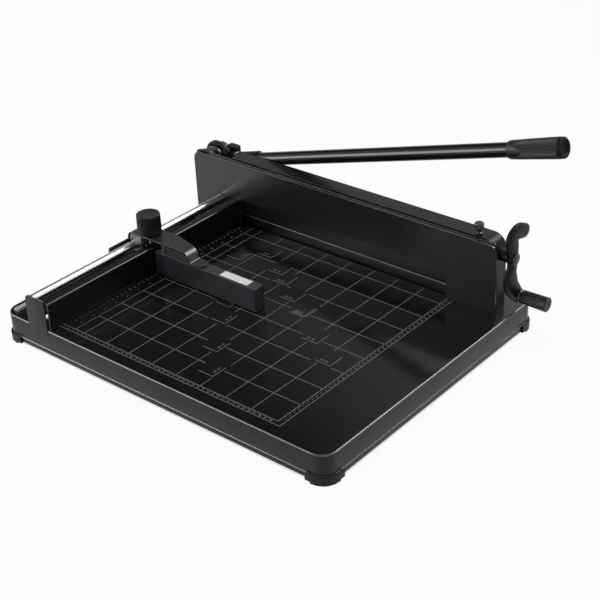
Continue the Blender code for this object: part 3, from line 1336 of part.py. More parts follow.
def lever_arm(lever, look):
    """Cast arm: pivot hub, raised bolt pad, socket for the tube and boss for the blade pin."""
    low = ARM_FRONT - TUBE_Y
    high = ARM_BACK - TUBE_Y
    hub_low = HUB_FRONT - TUBE_Y
    hub_high = HUB_BACK - TUBE_Y
    socket_tip = lever_point(SOCKET_END, LEVER_OFFSET)
    pad = HUB_RADIUS * 0.95
    bolt = arm_bolt_spots()
    top = HUB_RADIUS * 1.02
    outline = rounded_path([
        (-pad, -pad * 0.6),
        (0.0, -pad * 0.9),
        (DRIVE_X - DRIVE_BOSS * 1.1, DRIVE_Z - DRIVE_BOSS),
        (DRIVE_X + DRIVE_BOSS, DRIVE_Z - DRIVE_BOSS),
        (DRIVE_X + DRIVE_BOSS, DRIVE_Z + DRIVE_BOSS * 1.6),
        (socket_tip[0], socket_tip[1] - TUBE_RADIUS),
        (socket_tip[0], socket_tip[1] + TUBE_RADIUS),
        (bolt[1][0] + ARM_BOLT_HEAD * 1.3, top),
        (bolt[0][0] - ARM_BOLT_HEAD * 1.2, top),
        (bolt[0][0] - ARM_BOLT_HEAD * 1.5, top * 0.7),
        (0.0, pad),
        (-pad, pad * 0.6),
    ], [pad * 0.5, pad * 0.3, DRIVE_BOSS * 0.9, DRIVE_BOSS * 0.9, DRIVE_BOSS * 0.8, TUBE_RADIUS * 0.4,
        TUBE_RADIUS * 0.4, ARM_BOLT_HEAD * 0.6, ARM_BOLT_HEAD * 0.4, ARM_BOLT_HEAD * 0.3,
        pad * 0.3, pad * 0.5], 4)
    arm = add("lever_arm", slab(outline, low, high, "Y"), look, lever)
    soften(arm, ARM_INSET * 0.7, 1, 50)
    hub = disc((0, 0), BRACKET_HUB, ROUND)
    cutter(slab(hub, hub_low, hub_high, "Y"), arm, "UNION")
    boss = disc((DRIVE_X, DRIVE_Z), DRIVE_BOSS * 0.82, ROUND)
    cutter(slab(boss, hub_low, hub_high, "Y"), arm, "UNION")
    socket = turned([
        (TUBE_RADIUS + SOCKET_WALL, SOCKET_START),
        (TUBE_RADIUS + SOCKET_WALL, SOCKET_END),
    ], "X", ROUND)
    bmesh.ops.translate(socket, verts=socket.verts, vec=(0, 0, LEVER_OFFSET))
    bmesh.ops.rotate(socket, verts=socket.verts, matrix=Matrix.Rotation(-TUBE_ANGLE, 3, "Y"))
    cutter(socket, arm, "UNION")
    bore = turned([
        (TUBE_RADIUS + GAP, TUBE_START - GAP),
        (TUBE_RADIUS + GAP, SOCKET_END * 2),
    ], "X", ROUND)
    bmesh.ops.translate(bore, verts=bore.verts, vec=(0, 0, LEVER_OFFSET))
    bmesh.ops.rotate(bore, verts=bore.verts, matrix=Matrix.Rotation(-TUBE_ANGLE, 3, "Y"))
    cutter(bore, arm)
    holes = [((0, 0), PIVOT_RADIUS + SHEET + GAP), ((DRIVE_X, DRIVE_Z), DRIVE_PIN_RADIUS + GAP)]
    for centre, radius in holes:
        cutter(slab(disc(centre, radius, ROUND), hub_low - LAYER, hub_high + LAYER, "Y"), arm)
    for centre in bolt:
        hole = disc(centre, ARM_BOLT_RADIUS + GAP, SMALL_ROUND)
        cutter(slab(hole, low - LAYER, high - ARM_INSET, "Y"), arm)
    return smooth(arm)


def arm_bolt(name, lever, look, spot):
    """Bright hexagon bolt in the face of the arm."""
    front = ARM_FRONT - GAP - TUBE_Y
    head = slab(disc((0, 0), ARM_BOLT_HEAD, 6), front - ARM_BOLT_RADIUS * 0.9, front, "Y")
    bolt = add(name, head, look, lever, (spot[0], 0, spot[1]))
    shank = turned([
        (ARM_BOLT_RADIUS, front - ARM_BOLT_RADIUS * 0.4),
        (ARM_BOLT_RADIUS, ARM_BACK - TUBE_Y - ARM_INSET - GAP),
    ], "Y", SMALL_ROUND)
    cutter(shank, bolt, "UNION")
    return bolt


def hub_bush(lever, look):
    """Bronze bush pressed into the hub of the lever arm."""
    form = turned([
        (PIVOT_RADIUS + SHEET, HUB_FRONT - TUBE_Y),
        (PIVOT_RADIUS + SHEET, HUB_BACK - TUBE_Y),
    ], "Y", ROUND)
    bush = add("hub_bush", form, look, lever)
    bore = disc((0, 0), PIVOT_RADIUS + RUNNING, ROUND)
    cutter(slab(bore, HUB_FRONT - TUBE_Y - LAYER, HUB_BACK - TUBE_Y + LAYER, "Y"), bush)
    return smooth(bush)


def lever_tube(lever, look):
    """Long round tube of the lever, seated in the socket of the arm."""
    form = turned([
        (TUBE_RADIUS, TUBE_START),
        (TUBE_RADIUS, GRIP_REACH - END_CAP_LENGTH * 2),
    ], "X", ROUND)
    bmesh.ops.translate(form, verts=form.verts, vec=(0, 0, LEVER_OFFSET))
    tube = add("lever_tube", form, look, lever, (0, 0, 0), (0, -TUBE_ANGLE, 0))
    bore = slab(disc((0, 0), TUBE_RADIUS - TUBE_WALL, SMALL_ROUND), 0.0, GRIP_REACH, "X")
    bmesh.ops.translate(bore, verts=bore.verts, vec=(0, 0, LEVER_OFFSET))
    cutter(bore, tube)
    return smooth(tube)


def lever_grip(lever, look):
    """Thick grip sleeve: scalloped collar, then fine ribs, growing towards its end."""
    length = LEVER_GRIP_LENGTH
    collar = LEVER_GRIP_COLLAR
    end = LEVER_GRIP_END
    sleeve = turned([
        (TUBE_RADIUS + TUBE_WALL, 0.0),
        (collar * 0.97, length * 0.02),
        (collar, length * 0.05),
        (collar + (end - collar) * 0.2, length * 0.20),
        (end, length * 0.90),
        (end, length),
    ], "X", LEVER_GRIP_RIBS * 2, LEVER_GRIP_RIBS, LEVER_GRIP_END * 0.03, (3, 4))
    spot = Vector((*lever_point(GRIP_START, LEVER_OFFSET), 0)).xzy
    grip = add("lever_grip", sleeve, look, lever, spot, (0, -TUBE_ANGLE, 0))
    bore = disc((0, 0), TUBE_RADIUS + GAP, ROUND)
    cutter(slab(bore, -length, length * 2, "X"), grip)
    return grip


def grip_end_cap(lever, look):
    """Dished cap on the end of the grip."""
    start = GRIP_REACH - END_CAP_LENGTH + GAP - GRIP_START
    end = GRIP_REACH - GRIP_START
    form = turned([
        (LEVER_GRIP_END * 0.98, start),
        (LEVER_GRIP_END, start + END_CAP_LENGTH * 0.3),
        (LEVER_GRIP_END, end - END_CAP_LENGTH * 0.2),
        (LEVER_GRIP_END * END_CAP_RIM_SHARE, end),
        (LEVER_GRIP_END * 0.80, end - END_CAP_LENGTH * 0.1),
        (LEVER_GRIP_END * 0.40, end - END_CAP_LENGTH * 0.45),
    ], "X", 36)
    spot = Vector((*lever_point(GRIP_START, LEVER_OFFSET), 0)).xzy
    cap = add("grip_end_cap", form, look, lever, spot, (0, -TUBE_ANGLE, 0))
    return smooth(cap)


def drive_pin(lever, look):
    """Pin from the lever arm into the blade carrier, with a head behind the arm."""
    front = CARRIER_FRONT + GAP - TUBE_Y
    back = HUB_BACK + GAP - TUBE_Y
    form = turned([
        (DRIVE_PIN_RADIUS * 0.9, front),
        (DRIVE_PIN_RADIUS, front + LAYER),
        (DRIVE_PIN_RADIUS, back),
        (DRIVE_PIN_RADIUS * 1.5, back),
        (DRIVE_PIN_RADIUS * 1.5, back + SHEET),
    ], "Y", ROUND)
    return smooth(add("drive_pin", form, look, lever, (DRIVE_X, 0, DRIVE_Z)))


def pivot_bolt(machine, look):
    """Long bolt of the lever pivot, its round head inside the housing."""
    head = REAR_FRONT - GAP
    form = turned([
        (PIVOT_RADIUS * 1.3, head - BOLT_HEAD_HEIGHT),
        (PIVOT_RADIUS * 1.6, head - BOLT_HEAD_HEIGHT * 0.7),
        (PIVOT_RADIUS * 1.6, head),
        (PIVOT_RADIUS, head),
        (PIVOT_RADIUS, BRACKET_BACK + PIVOT_RADIUS * 1.6),
        (PIVOT_RADIUS * 0.8, BRACKET_BACK + PIVOT_RADIUS * 1.7),
    ], "Y", ROUND)
    return smooth(add("pivot_bolt", form, look, machine, (PIVOT_X, 0, PIVOT_Z)))


def pivot_nut(machine, look):
    """Hexagon nut of the pivot bolt behind the bracket."""
    low = BRACKET_BACK + GAP
    nut = slab(disc((0, 0), PIVOT_RADIUS * 1.7, 6), low, low + PIVOT_RADIUS * 1.3, "Y")
    piece = add("pivot_nut", nut, look, machine, (PIVOT_X, 0, PIVOT_Z))
    bore = disc((0, 0), PIVOT_RADIUS + RUNNING, ROUND)
    cutter(slab(bore, low - LAYER, low + PIVOT_RADIUS * 2, "Y"), piece)
    return piece


def pivot_bracket(machine, look):
    """Folded bracket, bolted down behind the lever arm, for the back of the pivot bolt."""
    hub = BRACKET_HUB
    outline = rounded_path([
        (PIVOT_X - hub, GAP),
        (PIVOT_X + hub * 0.7, GAP),
        (PIVOT_X + hub * 0.7, PIVOT_Z - hub * 2.45),
        (PIVOT_X + hub, PIVOT_Z + hub),
        (PIVOT_X - hub, PIVOT_Z + hub),
    ], [0, 0, hub * 0.7, hub * 0.95, hub * 0.95], CORNER)
    piece = add("pivot_bracket", slab(outline, BRACKET_FRONT, BRACKET_BACK, "Y"), look, machine)
    foot = box_outline(
        (PIVOT_X - hub, BRACKET_FRONT),
        (PIVOT_X + hub * 0.7, BRACKET_BACK + BRACKET_FOOT - BRACKET_SHEET),
    )
    cutter(slab(foot, GAP, GAP + BRACKET_SHEET, "Z"), piece, "UNION")
    bore = disc((PIVOT_X, PIVOT_Z), PIVOT_RADIUS + RUNNING, ROUND)
    cutter(slab(bore, BRACKET_FRONT - LAYER, BRACKET_BACK + LAYER, "Y"), piece)
    y = BRACKET_BACK + (BRACKET_FOOT - BRACKET_SHEET) / 2
    for share in (-0.55, 0.25):
        head = disc((PIVOT_X + hub * share, y), BOLT_HEAD_RADIUS * 0.85, 6)
        cutter(slab(head, BRACKET_SHEET / 2, BRACKET_SHEET + BOLT_HEAD_HEIGHT, "Z"), piece, "UNION")
    return piece


def blade_carrier(swing, look):
    """Steel beam behind the blade; the pins at its two ends keep it level as it swings."""
    pin_z = PIVOT_Z + DRIVE_Z
    left = PIVOT_X + DRIVE_X
    right = LINK_PIVOT_X + DRIVE_X
    low = CARRIER_FOOT - pin_z
    high = CARRIER_TOP - pin_z
    outline = rounded_path([
        (-CARRIER_END, -CARRIER_END),
        (CARRIER_END * 2, -CARRIER_END),
        (CARRIER_END * 3, low),
        (right - left - CARRIER_END, low),
        (right - left + CARRIER_END, -CARRIER_END),
        (right - left + CARRIER_END, CARRIER_END),
        (right - left - CARRIER_END, high),
        (CARRIER_END * 3, high),
        (CARRIER_END * 2, CARRIER_END),
        (-CARRIER_END, CARRIER_END),
    ], [CARRIER_END * 0.8, SHEET, SHEET, SHEET, CARRIER_END * 0.8, CARRIER_END * 0.8, SHEET, SHEET,
        SHEET, CARRIER_END * 0.8], 4)
    low_y = CARRIER_FRONT - TUBE_Y
    high_y = CARRIER_BACK - TUBE_Y
    beam = add("blade_carrier", slab(outline, low_y, high_y, "Y"), look, swing)
    for x in (0.0, right - left):
        bore = disc((x, 0), DRIVE_PIN_RADIUS + RUNNING, ROUND)
        cutter(slab(bore, low_y - LAYER, high_y + LAYER, "Y"), beam)
    for x in blade_screw_spots():
        hole = disc((x - left, blade_screw_level() - pin_z), SCREW_RADIUS + GAP, SMALL_ROUND)
        cutter(slab(hole, low_y - LAYER, high_y + LAYER, "Y"), beam)
    return beam


def blade_screw_spots():
    """Where the blade is screwed to its carrier, along X."""
    span = BLADE_RIGHT - BLADE_LEFT - BLADE_SCREW_INSET * 2
    return [BLADE_LEFT + BLADE_SCREW_INSET + span * n / (BLADE_SCREWS - 1) for n in range(BLADE_SCREWS)]


def blade_screw_level():
    """Height of the blade screws at rest, in the overlap of blade and carrier."""
    return (CARRIER_FOOT + GAP + BLADE_HEIGHT) / 2


def blade(swing, look):
    """Straight blade with one bevel, its flat side towards the clamp."""
    pin_z = PIVOT_Z + DRIVE_Z
    low = GAP - pin_z
    front = BLADE_FRONT - TUBE_Y
    back = BLADE_BACK - TUBE_Y
    outline = [
        (front, low),
        (front + BLADE_EDGE, low),
        (back, low + BLADE_BEVEL),
        (back, low + BLADE_HEIGHT),
        (front, low + BLADE_HEIGHT),
    ]
    left = PIVOT_X + DRIVE_X
    form = slab(outline, BLADE_LEFT - left, BLADE_RIGHT - left, "X")
    piece = add("blade", form, look, swing)
    for x in blade_screw_spots():
        hole = disc((x - left, blade_screw_level() - pin_z), SCREW_RADIUS + GAP, SMALL_ROUND)
        cutter(slab(hole, front - LAYER, back + LAYER, "Y"), piece)
    return piece


def blade_screw(name, swing, look, x):
    """Screw through the carrier into the blade, flush with the blade's face."""
    form = turned([
        (SCREW_RADIUS, BLADE_FRONT + GAP - TUBE_Y),
        (SCREW_RADIUS, CARRIER_BACK - GAP - TUBE_Y),
    ], "Y", SMALL_ROUND)
    spot = (x - PIVOT_X - DRIVE_X, 0, blade_screw_level() - PIVOT_Z - DRIVE_Z)
    return smooth(add(name, form, look, swing, spot))


def swing_link(link, look):
    """Link behind the rear plate that guides the crank end of the blade carrier."""
    half = LINK_SHEET / 2
    ends = slot_outline((0.0, 0.0), (DRIVE_X, DRIVE_Z), LINK_END)
    low = HUB_FRONT - TUBE_Y
    piece = add("swing_link", slab(ends, low, low + LINK_SHEET, "Y"), look, link)
    soften(piece, half * 0.3, 2, 50)
    for centre in ((0.0, 0.0), (DRIVE_X, DRIVE_Z)):
        bore = disc(centre, DRIVE_PIN_RADIUS + RUNNING, ROUND)
        cutter(slab(bore, low - LAYER, low + LINK_SHEET + LAYER, "Y"), piece)
    return piece


def link_pin(link, look):
    """Pin at the swinging end of the link, forward into the carrier."""
    front = CARRIER_FRONT + GAP - TUBE_Y
    back = HUB_FRONT + LINK_SHEET + GAP - TUBE_Y
    form = turned([
        (DRIVE_PIN_RADIUS * 0.9, front),
        (DRIVE_PIN_RADIUS, front + LAYER),
        (DRIVE_PIN_RADIUS, back),
        (DRIVE_PIN_RADIUS * 1.5, back),
        (DRIVE_PIN_RADIUS * 1.5, back + SHEET),
    ], "Y", ROUND)
    return smooth(add("link_pin", form, look, link, (DRIVE_X, 0, DRIVE_Z)))


def link_bolt(machine, look):
    """Shoulder bolt on the rear plate that the link swings on."""
    low = REAR_FRONT + GAP
    head = HUB_FRONT + LINK_SHEET + GAP
    form = turned([
        (DRIVE_PIN_RADIUS, low),
        (DRIVE_PIN_RADIUS, head),
        (DRIVE_PIN_RADIUS * 1.6, head),
        (DRIVE_PIN_RADIUS * 1.6, head + BOLT_HEAD_HEIGHT * 0.7),
        (DRIVE_PIN_RADIUS * 1.2, head + BOLT_HEAD_HEIGHT),
    ], "Y", ROUND)
    return smooth(add("link_bolt", form, look, machine, (LINK_PIVOT_X, 0, PIVOT_Z)))


CLAMP_LEFT = WINDOW_LEFT - 2 * REAR_WINDOW_EXTRA - SHEET
CLAMP_RIGHT = WINDOW_RIGHT + 2 * REAR_WINDOW_EXTRA + SHEET
COVER_SCREW_Z = REAR_TOP - SCREW_HEAD_RADIUS * 0.95
STICK_FRONT = BLADE_FRONT + BLADE_EDGE / 2 - STICK_WIDTH / 2


def build():
    """Make every piece and hang it on its body."""
    clear_scene()
    enamel = material("black enamel", (0.035, 0.037, 0.040), 0.28, 0.0)
    coat = material("satin black coat", (0.045, 0.047, 0.050), 0.42, 0.0)
    cast = material("black cast iron", (0.055, 0.057, 0.060), 0.45, 0.0)
    plastic = material("black plastic", (0.030, 0.030, 0.032), 0.55, 0.0)
    chrome = material("chrome", (0.72, 0.73, 0.74), 0.10, 1.0)
    zinc = material("bright zinc", (0.62, 0.63, 0.64), 0.30, 1.0)
    steel = material("ground steel", (0.55, 0.56, 0.58), 0.25, 1.0)
    bronze = material("bronze", (0.55, 0.38, 0.20), 0.35, 1.0)
    stick = material("white stick", (0.75, 0.75, 0.72), 0.60, 0.0)

    machine = empty("machine", (-MIDDLE_X, -MIDDLE_Y, -GROUND))
    carriage = empty("carriage_slide", (0, 0, 0), machine)
    knob_turn = empty("knob_axis", (KNOB_X, KNOB_Y, SADDLE_TOP), carriage)
    press = empty("press_slide", (0, 0, 0), machine)
    draw = empty("draw_slide", (0, 0, 0), machine)
    crank = empty("crank_axis", (CRANK_MID_X, SPINDLE_Y, SPINDLE_Z), machine)
    spin = empty("grip_axis", (GRIP_X - CRANK_MID_X, GRIP_Y, GRIP_Z), crank)
    lock = empty("lock_axis", (LOCK_X, SPINDLE_Y, COVER_TOP), machine)
    lever = empty("lever_axis", (PIVOT_X, TUBE_Y, PIVOT_Z), machine)
    swing = empty("carrier_axis", (DRIVE_X, 0, DRIVE_Z), lever)
    link = empty("link_axis", (LINK_PIVOT_X, TUBE_Y, PIVOT_Z), machine)

    base_tray(machine, enamel)
    lower_frame(machine, coat)
    corner_foot("foot_front_left", machine, plastic, False, False)
    corner_foot("foot_front_right", machine, plastic, True, False)
    corner_foot("foot_back_left", machine, plastic, False, True)
    corner_foot("foot_back_right", machine, plastic, True, True)
    side_fence(machine, coat)
    guide_rod(machine, chrome)

    saddle(carriage, coat)
    guide_block(carriage, zinc)
    stop_block(carriage, plastic)
    for name, x in zip(("stop_screw_left", "stop_screw_right"), stop_screw_spots()):
        stop_screw(name, carriage, steel, x)
    spacer(carriage, chrome)
    clamp_nut(carriage, steel)
    knob(knob_turn, plastic)
    knob_stud(knob_turn, steel)

    front_plate(machine, coat)
    rear_plate(machine, coat)
    housing_cover(machine, coat)
    for name, x in zip(("cover_screw_left", "cover_screw_right"), cover_screw_spots()):
        cover_screw(name, machine, steel, x)
    left_block(machine, cast)
    right_block(machine, cast)
    cutting_stick(machine, stick)
    stick_channel(machine, coat)
    clamp_post("clamp_post_left", machine, steel, False)
    clamp_post("clamp_post_right", machine, steel, True)
    spindle_bush(machine, zinc)

    clamp_bar(press, coat)
    for name, x in zip(("clamp_pin_left", "clamp_pin_right"), clamp_pin_spots()):
        clamp_pin(name, press, steel, x)
    draw_bar(draw, steel)
    spindle_nut(draw, bronze)
    spindle(crank, steel)
    crank_arm(crank, cast)
    crank_screw(crank, zinc)
    grip_washer(crank, zinc)
    grip_pin(crank, steel)
    crank_grip(spin, plastic)
    lock_screw(lock, steel)

    lever_arm(lever, cast)
    for name, spot in zip(("arm_bolt_upper", "arm_bolt_lower"), arm_bolt_spots()):
        arm_bolt(name, lever, zinc, spot)
    hub_bush(lever, bronze)
    lever_tube(lever, enamel)
    lever_grip(lever, plastic)
    grip_end_cap(lever, plastic)
    drive_pin(lever, steel)
    pivot_bolt(machine, steel)
    pivot_nut(machine, zinc)
    pivot_bracket(machine, coat)
    blade_carrier(swing, steel)
    blade(swing, steel)
    for name, x in zip(("blade_screw_left", "blade_screw_middle", "blade_screw_right"), blade_screw_spots()):
        blade_screw(name, swing, steel, x)
    swing_link(link, coat)
    link_pin(link, steel)
    link_bolt(machine, steel)


build()
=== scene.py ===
# %% [markdown]
# # A desk guillotine for stacks of paper
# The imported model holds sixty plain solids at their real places. This file gives them their
# looks: finer surfaces where the eye needs them, and a finish for every piece. Nothing here
# moves or resizes a part. Each step first says what the piece is on the real machine, then
# how it could be made, then why this way was taken.

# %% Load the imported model
import json
import math

import bmesh
import bpy
import numpy as np
from mathutils import Matrix, Vector

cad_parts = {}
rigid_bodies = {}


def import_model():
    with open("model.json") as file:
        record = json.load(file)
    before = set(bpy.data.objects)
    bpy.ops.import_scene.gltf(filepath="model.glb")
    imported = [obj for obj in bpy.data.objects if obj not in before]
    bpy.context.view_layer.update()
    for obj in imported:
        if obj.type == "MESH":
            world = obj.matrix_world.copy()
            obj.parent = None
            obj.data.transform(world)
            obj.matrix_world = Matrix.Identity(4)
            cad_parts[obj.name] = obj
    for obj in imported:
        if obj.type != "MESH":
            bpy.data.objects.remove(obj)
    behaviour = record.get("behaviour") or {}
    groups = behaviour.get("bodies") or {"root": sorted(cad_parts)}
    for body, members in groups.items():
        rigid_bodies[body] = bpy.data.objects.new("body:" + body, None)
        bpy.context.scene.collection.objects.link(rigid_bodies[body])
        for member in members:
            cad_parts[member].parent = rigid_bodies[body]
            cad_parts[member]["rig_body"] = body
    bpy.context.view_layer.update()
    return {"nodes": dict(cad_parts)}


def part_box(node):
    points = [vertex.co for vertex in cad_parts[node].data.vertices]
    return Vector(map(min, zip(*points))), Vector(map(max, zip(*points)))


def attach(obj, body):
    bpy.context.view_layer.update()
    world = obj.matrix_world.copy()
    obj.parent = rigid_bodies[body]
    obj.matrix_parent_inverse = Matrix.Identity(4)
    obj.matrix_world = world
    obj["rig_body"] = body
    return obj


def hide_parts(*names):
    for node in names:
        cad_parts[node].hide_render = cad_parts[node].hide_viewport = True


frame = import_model()
nodes = frame["nodes"]

# %% [markdown]
# The machine has its own zero: X from the fence's zero line, Y from the front line of the
# print, Z from the table top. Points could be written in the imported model's numbers, but
# rulers and grids are easier to read from the machine's own zero, so one function moves
# them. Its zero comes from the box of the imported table.

# %% The machine's zero
TABLE_LEFT = 0.110
TABLE_FRONT = 0.030
TRAY_DEPTH = 0.035
tray_low, tray_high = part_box("base_tray")
ZERO = np.array(tray_low) + (TABLE_LEFT, TABLE_FRONT, TRAY_DEPTH)
TABLE_WIDTH = tray_high.x - tray_low.x
TABLE_DEPTH = tray_high.y - tray_low.y


def place(x, y, z):
    """A point given from the machine's zero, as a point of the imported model: the sum of both."""
    return ZERO + (x, y, z)


print("zero", np.round(ZERO, 4), "table", round(TABLE_WIDTH, 4), "by", round(TABLE_DEPTH, 4))

# %% [markdown]
# ## Camera
# The photo looks down on the machine from its front right. The camera could be set by eye;
# here it comes from the print instead, whose squares measure 50 mm, so the view fits to a
# fraction of a pixel.

# %% Camera
CAMERA_SPOT = place(1.50158, -1.15168, 1.10442)
CAMERA_AIM = place(0.26010, 0.27780, 0.0)
CAMERA_ROLL = -2.64
CAMERA_LENS = 81.4
SENSOR = 36.0


def put(name, data):
    """A new object in the scene, at the origin, from a mesh, a curve, a lamp or a camera."""
    made = bpy.data.objects.new(name, data)
    bpy.context.collection.objects.link(made)
    return made


lens = bpy.data.cameras.new("studio_camera")
lens.lens = CAMERA_LENS
lens.sensor_width = SENSOR
camera = put("studio_camera", lens)
sight = Vector(CAMERA_AIM - CAMERA_SPOT).to_track_quat("-Z", "Y").to_matrix()
turn = sight @ Matrix.Rotation(math.radians(CAMERA_ROLL), 3, "Z")
camera.matrix_world = Matrix.Translation(CAMERA_SPOT) @ turn.to_4x4()
bpy.context.scene.camera = camera
print("camera distance", round(float(np.linalg.norm(CAMERA_AIM - CAMERA_SPOT)), 3))

# %% [markdown]
# ## Shader maths
# A finish is a sum of small signals: a grain, a smudge, a scratch. Each could be wired node
# by node. One small class that wraps a socket lets the sums be written as sums instead.


# %% A socket that can be used in sums
class Signal:
    """One output of a material's tree; sums and products of signals add their own nodes."""

    def __init__(self, tree, socket):
        self.tree = tree
        self.socket = socket

    def node(self, kind, settings, sockets, output=0):
        """Add any node: its settings first, then the values or links of its sockets."""
        made = self.tree.nodes.new(kind)
        for key, value in settings.items():
            setattr(made, key, value)
        for key, value in sockets.items():
            if isinstance(value, Signal):
                self.tree.links.new(value.socket, made.inputs[key])
            else:
                made.inputs[key].default_value = value
        return Signal(self.tree, made.outputs[output])

    def maths(self, operation, first, second):
        """A Math node on two values, either of which may be a signal."""
        return self.node("ShaderNodeMath", {"operation": operation}, {0: first, 1: second})

    def __add__(self, other):
        return self.maths("ADD", self, other)

    def __radd__(self, other):
        return self.maths("ADD", other, self)

    def __sub__(self, other):
        return self.maths("SUBTRACT", self, other)

    def __rsub__(self, other):
        return self.maths("SUBTRACT", other, self)

    def __mul__(self, other):
        return self.maths("MULTIPLY", self, other)

    def __rmul__(self, other):
        return self.maths("MULTIPLY", other, self)

    def clip(self, low, high):
        """The share of the way from low to high, kept between zero and one."""
        sockets = {"Value": self, "From Min": low, "From Max": high}
        return self.node("ShaderNodeMapRange", {"clamp": True}, sockets)

    def tint(self, low, high):
        """A colour between two others, by this signal."""
        sockets = {0: self, 6: (*low, 1.0), 7: (*high, 1.0)}
        return self.node("ShaderNodeMix", {"data_type": "RGBA"}, sockets, 2)

    def noise(self, size, detail=2.0, stretch=(1.0, 1.0, 1.0)):
        """Cloudy noise whose lumps are about the given size in metres, longer where stretched."""
        share = tuple(1.0 / (size * factor) for factor in stretch)
        spread = self.node("ShaderNodeVectorMath", {"operation": "MULTIPLY"}, {0: self, 1: share})
        return self.node("ShaderNodeTexNoise", {}, {"Vector": spread, "Scale": 1.0, "Detail": detail})

    def relief(self, depth):
        """A normal that rises and falls with this signal, by the given depth in metres."""
        return self.node("ShaderNodeBump", {}, {"Height": self, "Distance": depth, "Strength": 1.0})


# %% A fresh finish
FINISHES = []


def fresh(name, **constants):
    """A material, its shader with constant values set, and its Object coordinates."""
    made = bpy.data.materials.new(name)
    made.use_nodes = True
    tree = made.node_tree
    shader = tree.nodes["Principled BSDF"]
    for key, value in constants.items():
        shader.inputs[key.replace("_", " ").title().replace("Ior", "IOR")].default_value = value
    spot = Signal(tree, tree.nodes.new("ShaderNodeTexCoord").outputs["Object"])
    FINISHES.append(name)
    return made, shader, spot


def wire(shader, **signals):
    """Feed signals into the shader's sockets."""
    for key, signal in signals.items():
        shader.id_data.links.new(signal.socket, shader.inputs[key.replace("_", " ").title()])


def weather(shader, shade, dark, light, wear, gloss, spread, skin, depth):
    """Colour between dark and light by shade, roughness = gloss + (wear - 1/2) spread, relief of a skin."""
    wire(
        shader,
        base_color=shade.tint(dark, light),
        roughness=wear * spread + (gloss - spread / 2),
        normal=skin.relief(depth),
    )


print("shader helpers ready")

# %% [markdown]
# ## Painted finishes
# Blacks of several kinds cover the machine. The table has a hard gloss enamel that mirrors
# the housing. The folded plates have a satin powder coat with a very fine grain. The castings
# have thick paint over a rough skin. One function makes them all, because they differ only
# in shade and gloss, in the size of their grain and in how uneven they are. Noise crowds
# round its middle value, so each use of it spreads a named middle range over its whole width.


# %% Painted finishes
CLOUD = 0.05
SMUDGE = 0.018
COARSE_SHARE = 1.2
CLOUD_RANGE = (0.3, 0.7)
SMUDGE_RANGE = (0.25, 0.8)


def paint(name, dark, light, gloss, spread, grain, depth, specular):
    """Black paint: two near shades in soft clouds, roughness round a middle value, a fine grain.

    The grain is a noise of twice its size plus a stronger one of six times its size.
    """
    made, shader, spot = fresh(name, specular_ior_level=specular)
    clouds = spot.noise(CLOUD, 3.0).clip(*CLOUD_RANGE)
    smudge = spot.noise(SMUDGE, 4.0).clip(*SMUDGE_RANGE)
    skin = spot.noise(grain * 2, 0.0) + spot.noise(grain * 6, 1.0) * COARSE_SHARE
    weather(shader, clouds, dark, light, smudge, gloss, spread, skin, depth)
    return made


ENAMEL = paint("gloss_enamel", (0.004, 0.0045, 0.0045), (0.007, 0.0075, 0.0075),
               gloss=0.13, spread=0.05, grain=0.0016, depth=0.000003, specular=0.40)
FLANGE = paint("satin_enamel", (0.007, 0.0075, 0.0085), (0.011, 0.0115, 0.0125),
               gloss=0.30, spread=0.06, grain=0.0008, depth=0.000008, specular=0.24)
POWDER = paint("powder_coat", (0.007, 0.0075, 0.0085), (0.011, 0.0115, 0.0125),
               gloss=0.30, spread=0.04, grain=0.0007, depth=0.000005, specular=0.55)
FENCE_PAINT = paint("fence_enamel", (0.003, 0.004, 0.005), (0.005, 0.006, 0.007),
                    gloss=0.24, spread=0.06, grain=0.0007, depth=0.00001, specular=0.35)
# The edge finish is lighter and glossier than the paints it borders; its lighter colour is a painted highlight
# along bent and rounded edges.
EDGE_HIGHLIGHT = paint("edge_enamel", (0.012, 0.0125, 0.0135), (0.018, 0.0185, 0.0195),
                   gloss=0.24, spread=0.04, grain=0.0008, depth=0.000004, specular=0.9)
COVER_PAINT = paint("cover_coat", (0.006, 0.0065, 0.0075), (0.009, 0.0095, 0.0105),
                    gloss=0.30, spread=0.08, grain=0.0007, depth=0.00001, specular=0.12)
TUBE_PAINT = paint("tube_enamel", (0.006, 0.0065, 0.0075), (0.010, 0.0105, 0.0115),
                   gloss=0.13, spread=0.03, grain=0.0015, depth=0.000004, specular=0.28)
CASTING = paint("painted_casting", (0.006, 0.006, 0.0065), (0.009, 0.009, 0.0095),
                gloss=0.40, spread=0.08, grain=0.0014, depth=0.00002, specular=0.11)
print("painted finishes", FINISHES)

# %% [markdown]
# ## Moulded plastics
# Knob, grips, feet and caps are moulded plastic with a fine spark-eroded skin. A flat colour
# would look like paint, so the skin is a small even noise, and the gloss wanders a little
# where hands have been.


# %% Moulded plastics
HANDLED = 0.012
HAND_SPREAD = 0.14
HAND_RANGE = (0.2, 0.8)


def moulded(name, dark, light, gloss, grain, depth, specular):
    """Textured plastic: even fine noise for the skin, slow noise for the gloss and the shade."""
    made, shader, spot = fresh(name, specular_ior_level=specular)
    handled = spot.noise(HANDLED, 3.0)
    shade, wear = handled.clip(*CLOUD_RANGE), handled.clip(*HAND_RANGE)
    weather(shader, shade, dark, light, wear, gloss, HAND_SPREAD, spot.noise(grain, 1.0), depth)
    return made


